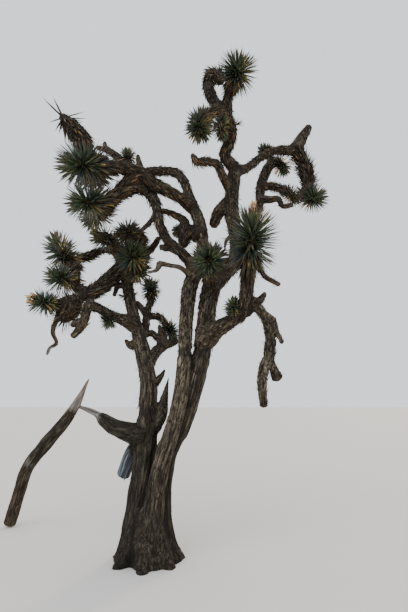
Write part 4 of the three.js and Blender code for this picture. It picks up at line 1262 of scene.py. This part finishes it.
# The first colour of each bark is the painted shade in its cracks
corky_bark = bark_material(
    "corky fissured bark", 0x1f1b17,
    [(0, 0x2c2822), (0.5, 0x3c352c), (1, 0x50473b)],
    [(0, 0x867b69), (0.5, 0xa59881), (1, 0xc1b49c)],
    [(0, 0x34302a), (0.5, 0x49433a), (1, 0x696054)],
    [(0.3, 0x6c6c6c), (0.7, 0x9a9b9b)],
    [(0.3, 0x6a5a49), (0.7, 0x9a8670)],
)
dull_brown = [(0, 0x2c2922), (0.5, 0x3b372d), (1, 0x4e483b)]
dead_wood = bark_material(
    "weathered dead wood", 0x1e1914,
    dull_brown,
    [(0, 0x49443a), (0.5, 0x5d574b), (1, 0x766e60)],
    dull_brown,
    [(0.38, 0x26282b), (0.47, 0x474c52), (0.62, 0x6b7279)],
    [(0.3, 0x4c3626), (0.7, 0x8a6a4c)],
)
for region in REGIONS:
    bark_piece(region, dead_wood if region == "dead" else corky_bark)

greens = leaf_set([
    ("fresh dagger leaf", 0x5c6747), ("green dagger leaf", 0x3f4d37), ("blue green dagger leaf", 0x31413c),
    ("olive dagger leaf", 0x3c412e), ("yellowing and sunlit dagger leaf", 0x787644), ("gilded and sunlit dagger leaf", 0x9c8448),
    ("brown leaf spine", 0x44331f), ("withered dagger leaf", 0x4b3d2f),
], 0.45, 0.4)
dry_tones = leaf_set([
    ("umber old leaf", 0x28221c), ("brown old leaf", 0x3f362c), ("grey old leaf", 0x595144),
    ("straw old leaf", 0x7f7158), ("golden sunlit old leaf", 0x967248), ("rusty sunlit old leaf", 0x765238),
], 0.8, 0.2)
bud_tones = leaf_set([
    ("tan bud bract", 0x9c7444), ("golden bud bract", 0xba8b54), ("pale bud bract", 0xdabd8e),
    ("green bud bract", 0x5e6340), ("brown bud bract", 0x5d4a33),
], 0.6, 0.3)
TAN_BUD, GOLD_BUD, PALE_BUD, GREEN_BUD, BROWN_BUD = range(5)

rng = np.random.default_rng(41)
for region in ("left", "middle", "right"):
    green = Sprays(DAGGER)
    hanging = Sprays(FLAKE)
    for name in names_in(region):
        if name in HEADS:
            if not SPECS[name]["dry"]:
                live_leaves(name, green, rng)
            skirt(name, hanging, rng)
    for row in SPRIGS.get(region, []):
        sprig(*row, green, rng)
    if region == "left":
        dead_star("dead_rosette", 190, 150, hanging, rng)
        spikes("left_plume", PLUME_SPIKES, hanging)
    green.piece("leaves_" + region, greens, "dagger_leaves", SPINE)
    hanging.piece("skirts_" + region, dry_tones, "dry_leaves")

for region in ("trunk", "left", "middle", "right"):
    shingles = Sprays(FLAKE)
    for name in names_in(region):
        thatch(name, shingles, rng)
        fringe(name, shingles, rng)
    shingles.piece("old_leaves_" + region, dry_tones, "dry_leaves")

buds = Sprays(BRACT)
golden = [GOLD_BUD, PALE_BUD, PALE_BUD]
knobby = [GREEN_BUD, GREEN_BUD, BROWN_BUD, TAN_BUD]
for name, way, reach, start, count, size, tones in [
    ("great_head", (0.04, -0.1, 1), 225, 0.05, 24, 48, golden),
    ("outer_great_head", (-0.1, -0.1, 1), 110, 0.2, 9, 60, knobby),
    ("outer_arm_head", (-0.6, -0.2, 0.2), 80, 0, 5, 80, golden),
    ("knobby_head", (-0.2, -0.2, 0.9), 90, 0, 12, 55, knobby),
]:
    panicle(name, way, reach, start, count, size, tones, buds, rng)
buds.piece("flower_buds", bud_tones, "dry_leaves")

bpy.context.view_layer.update()
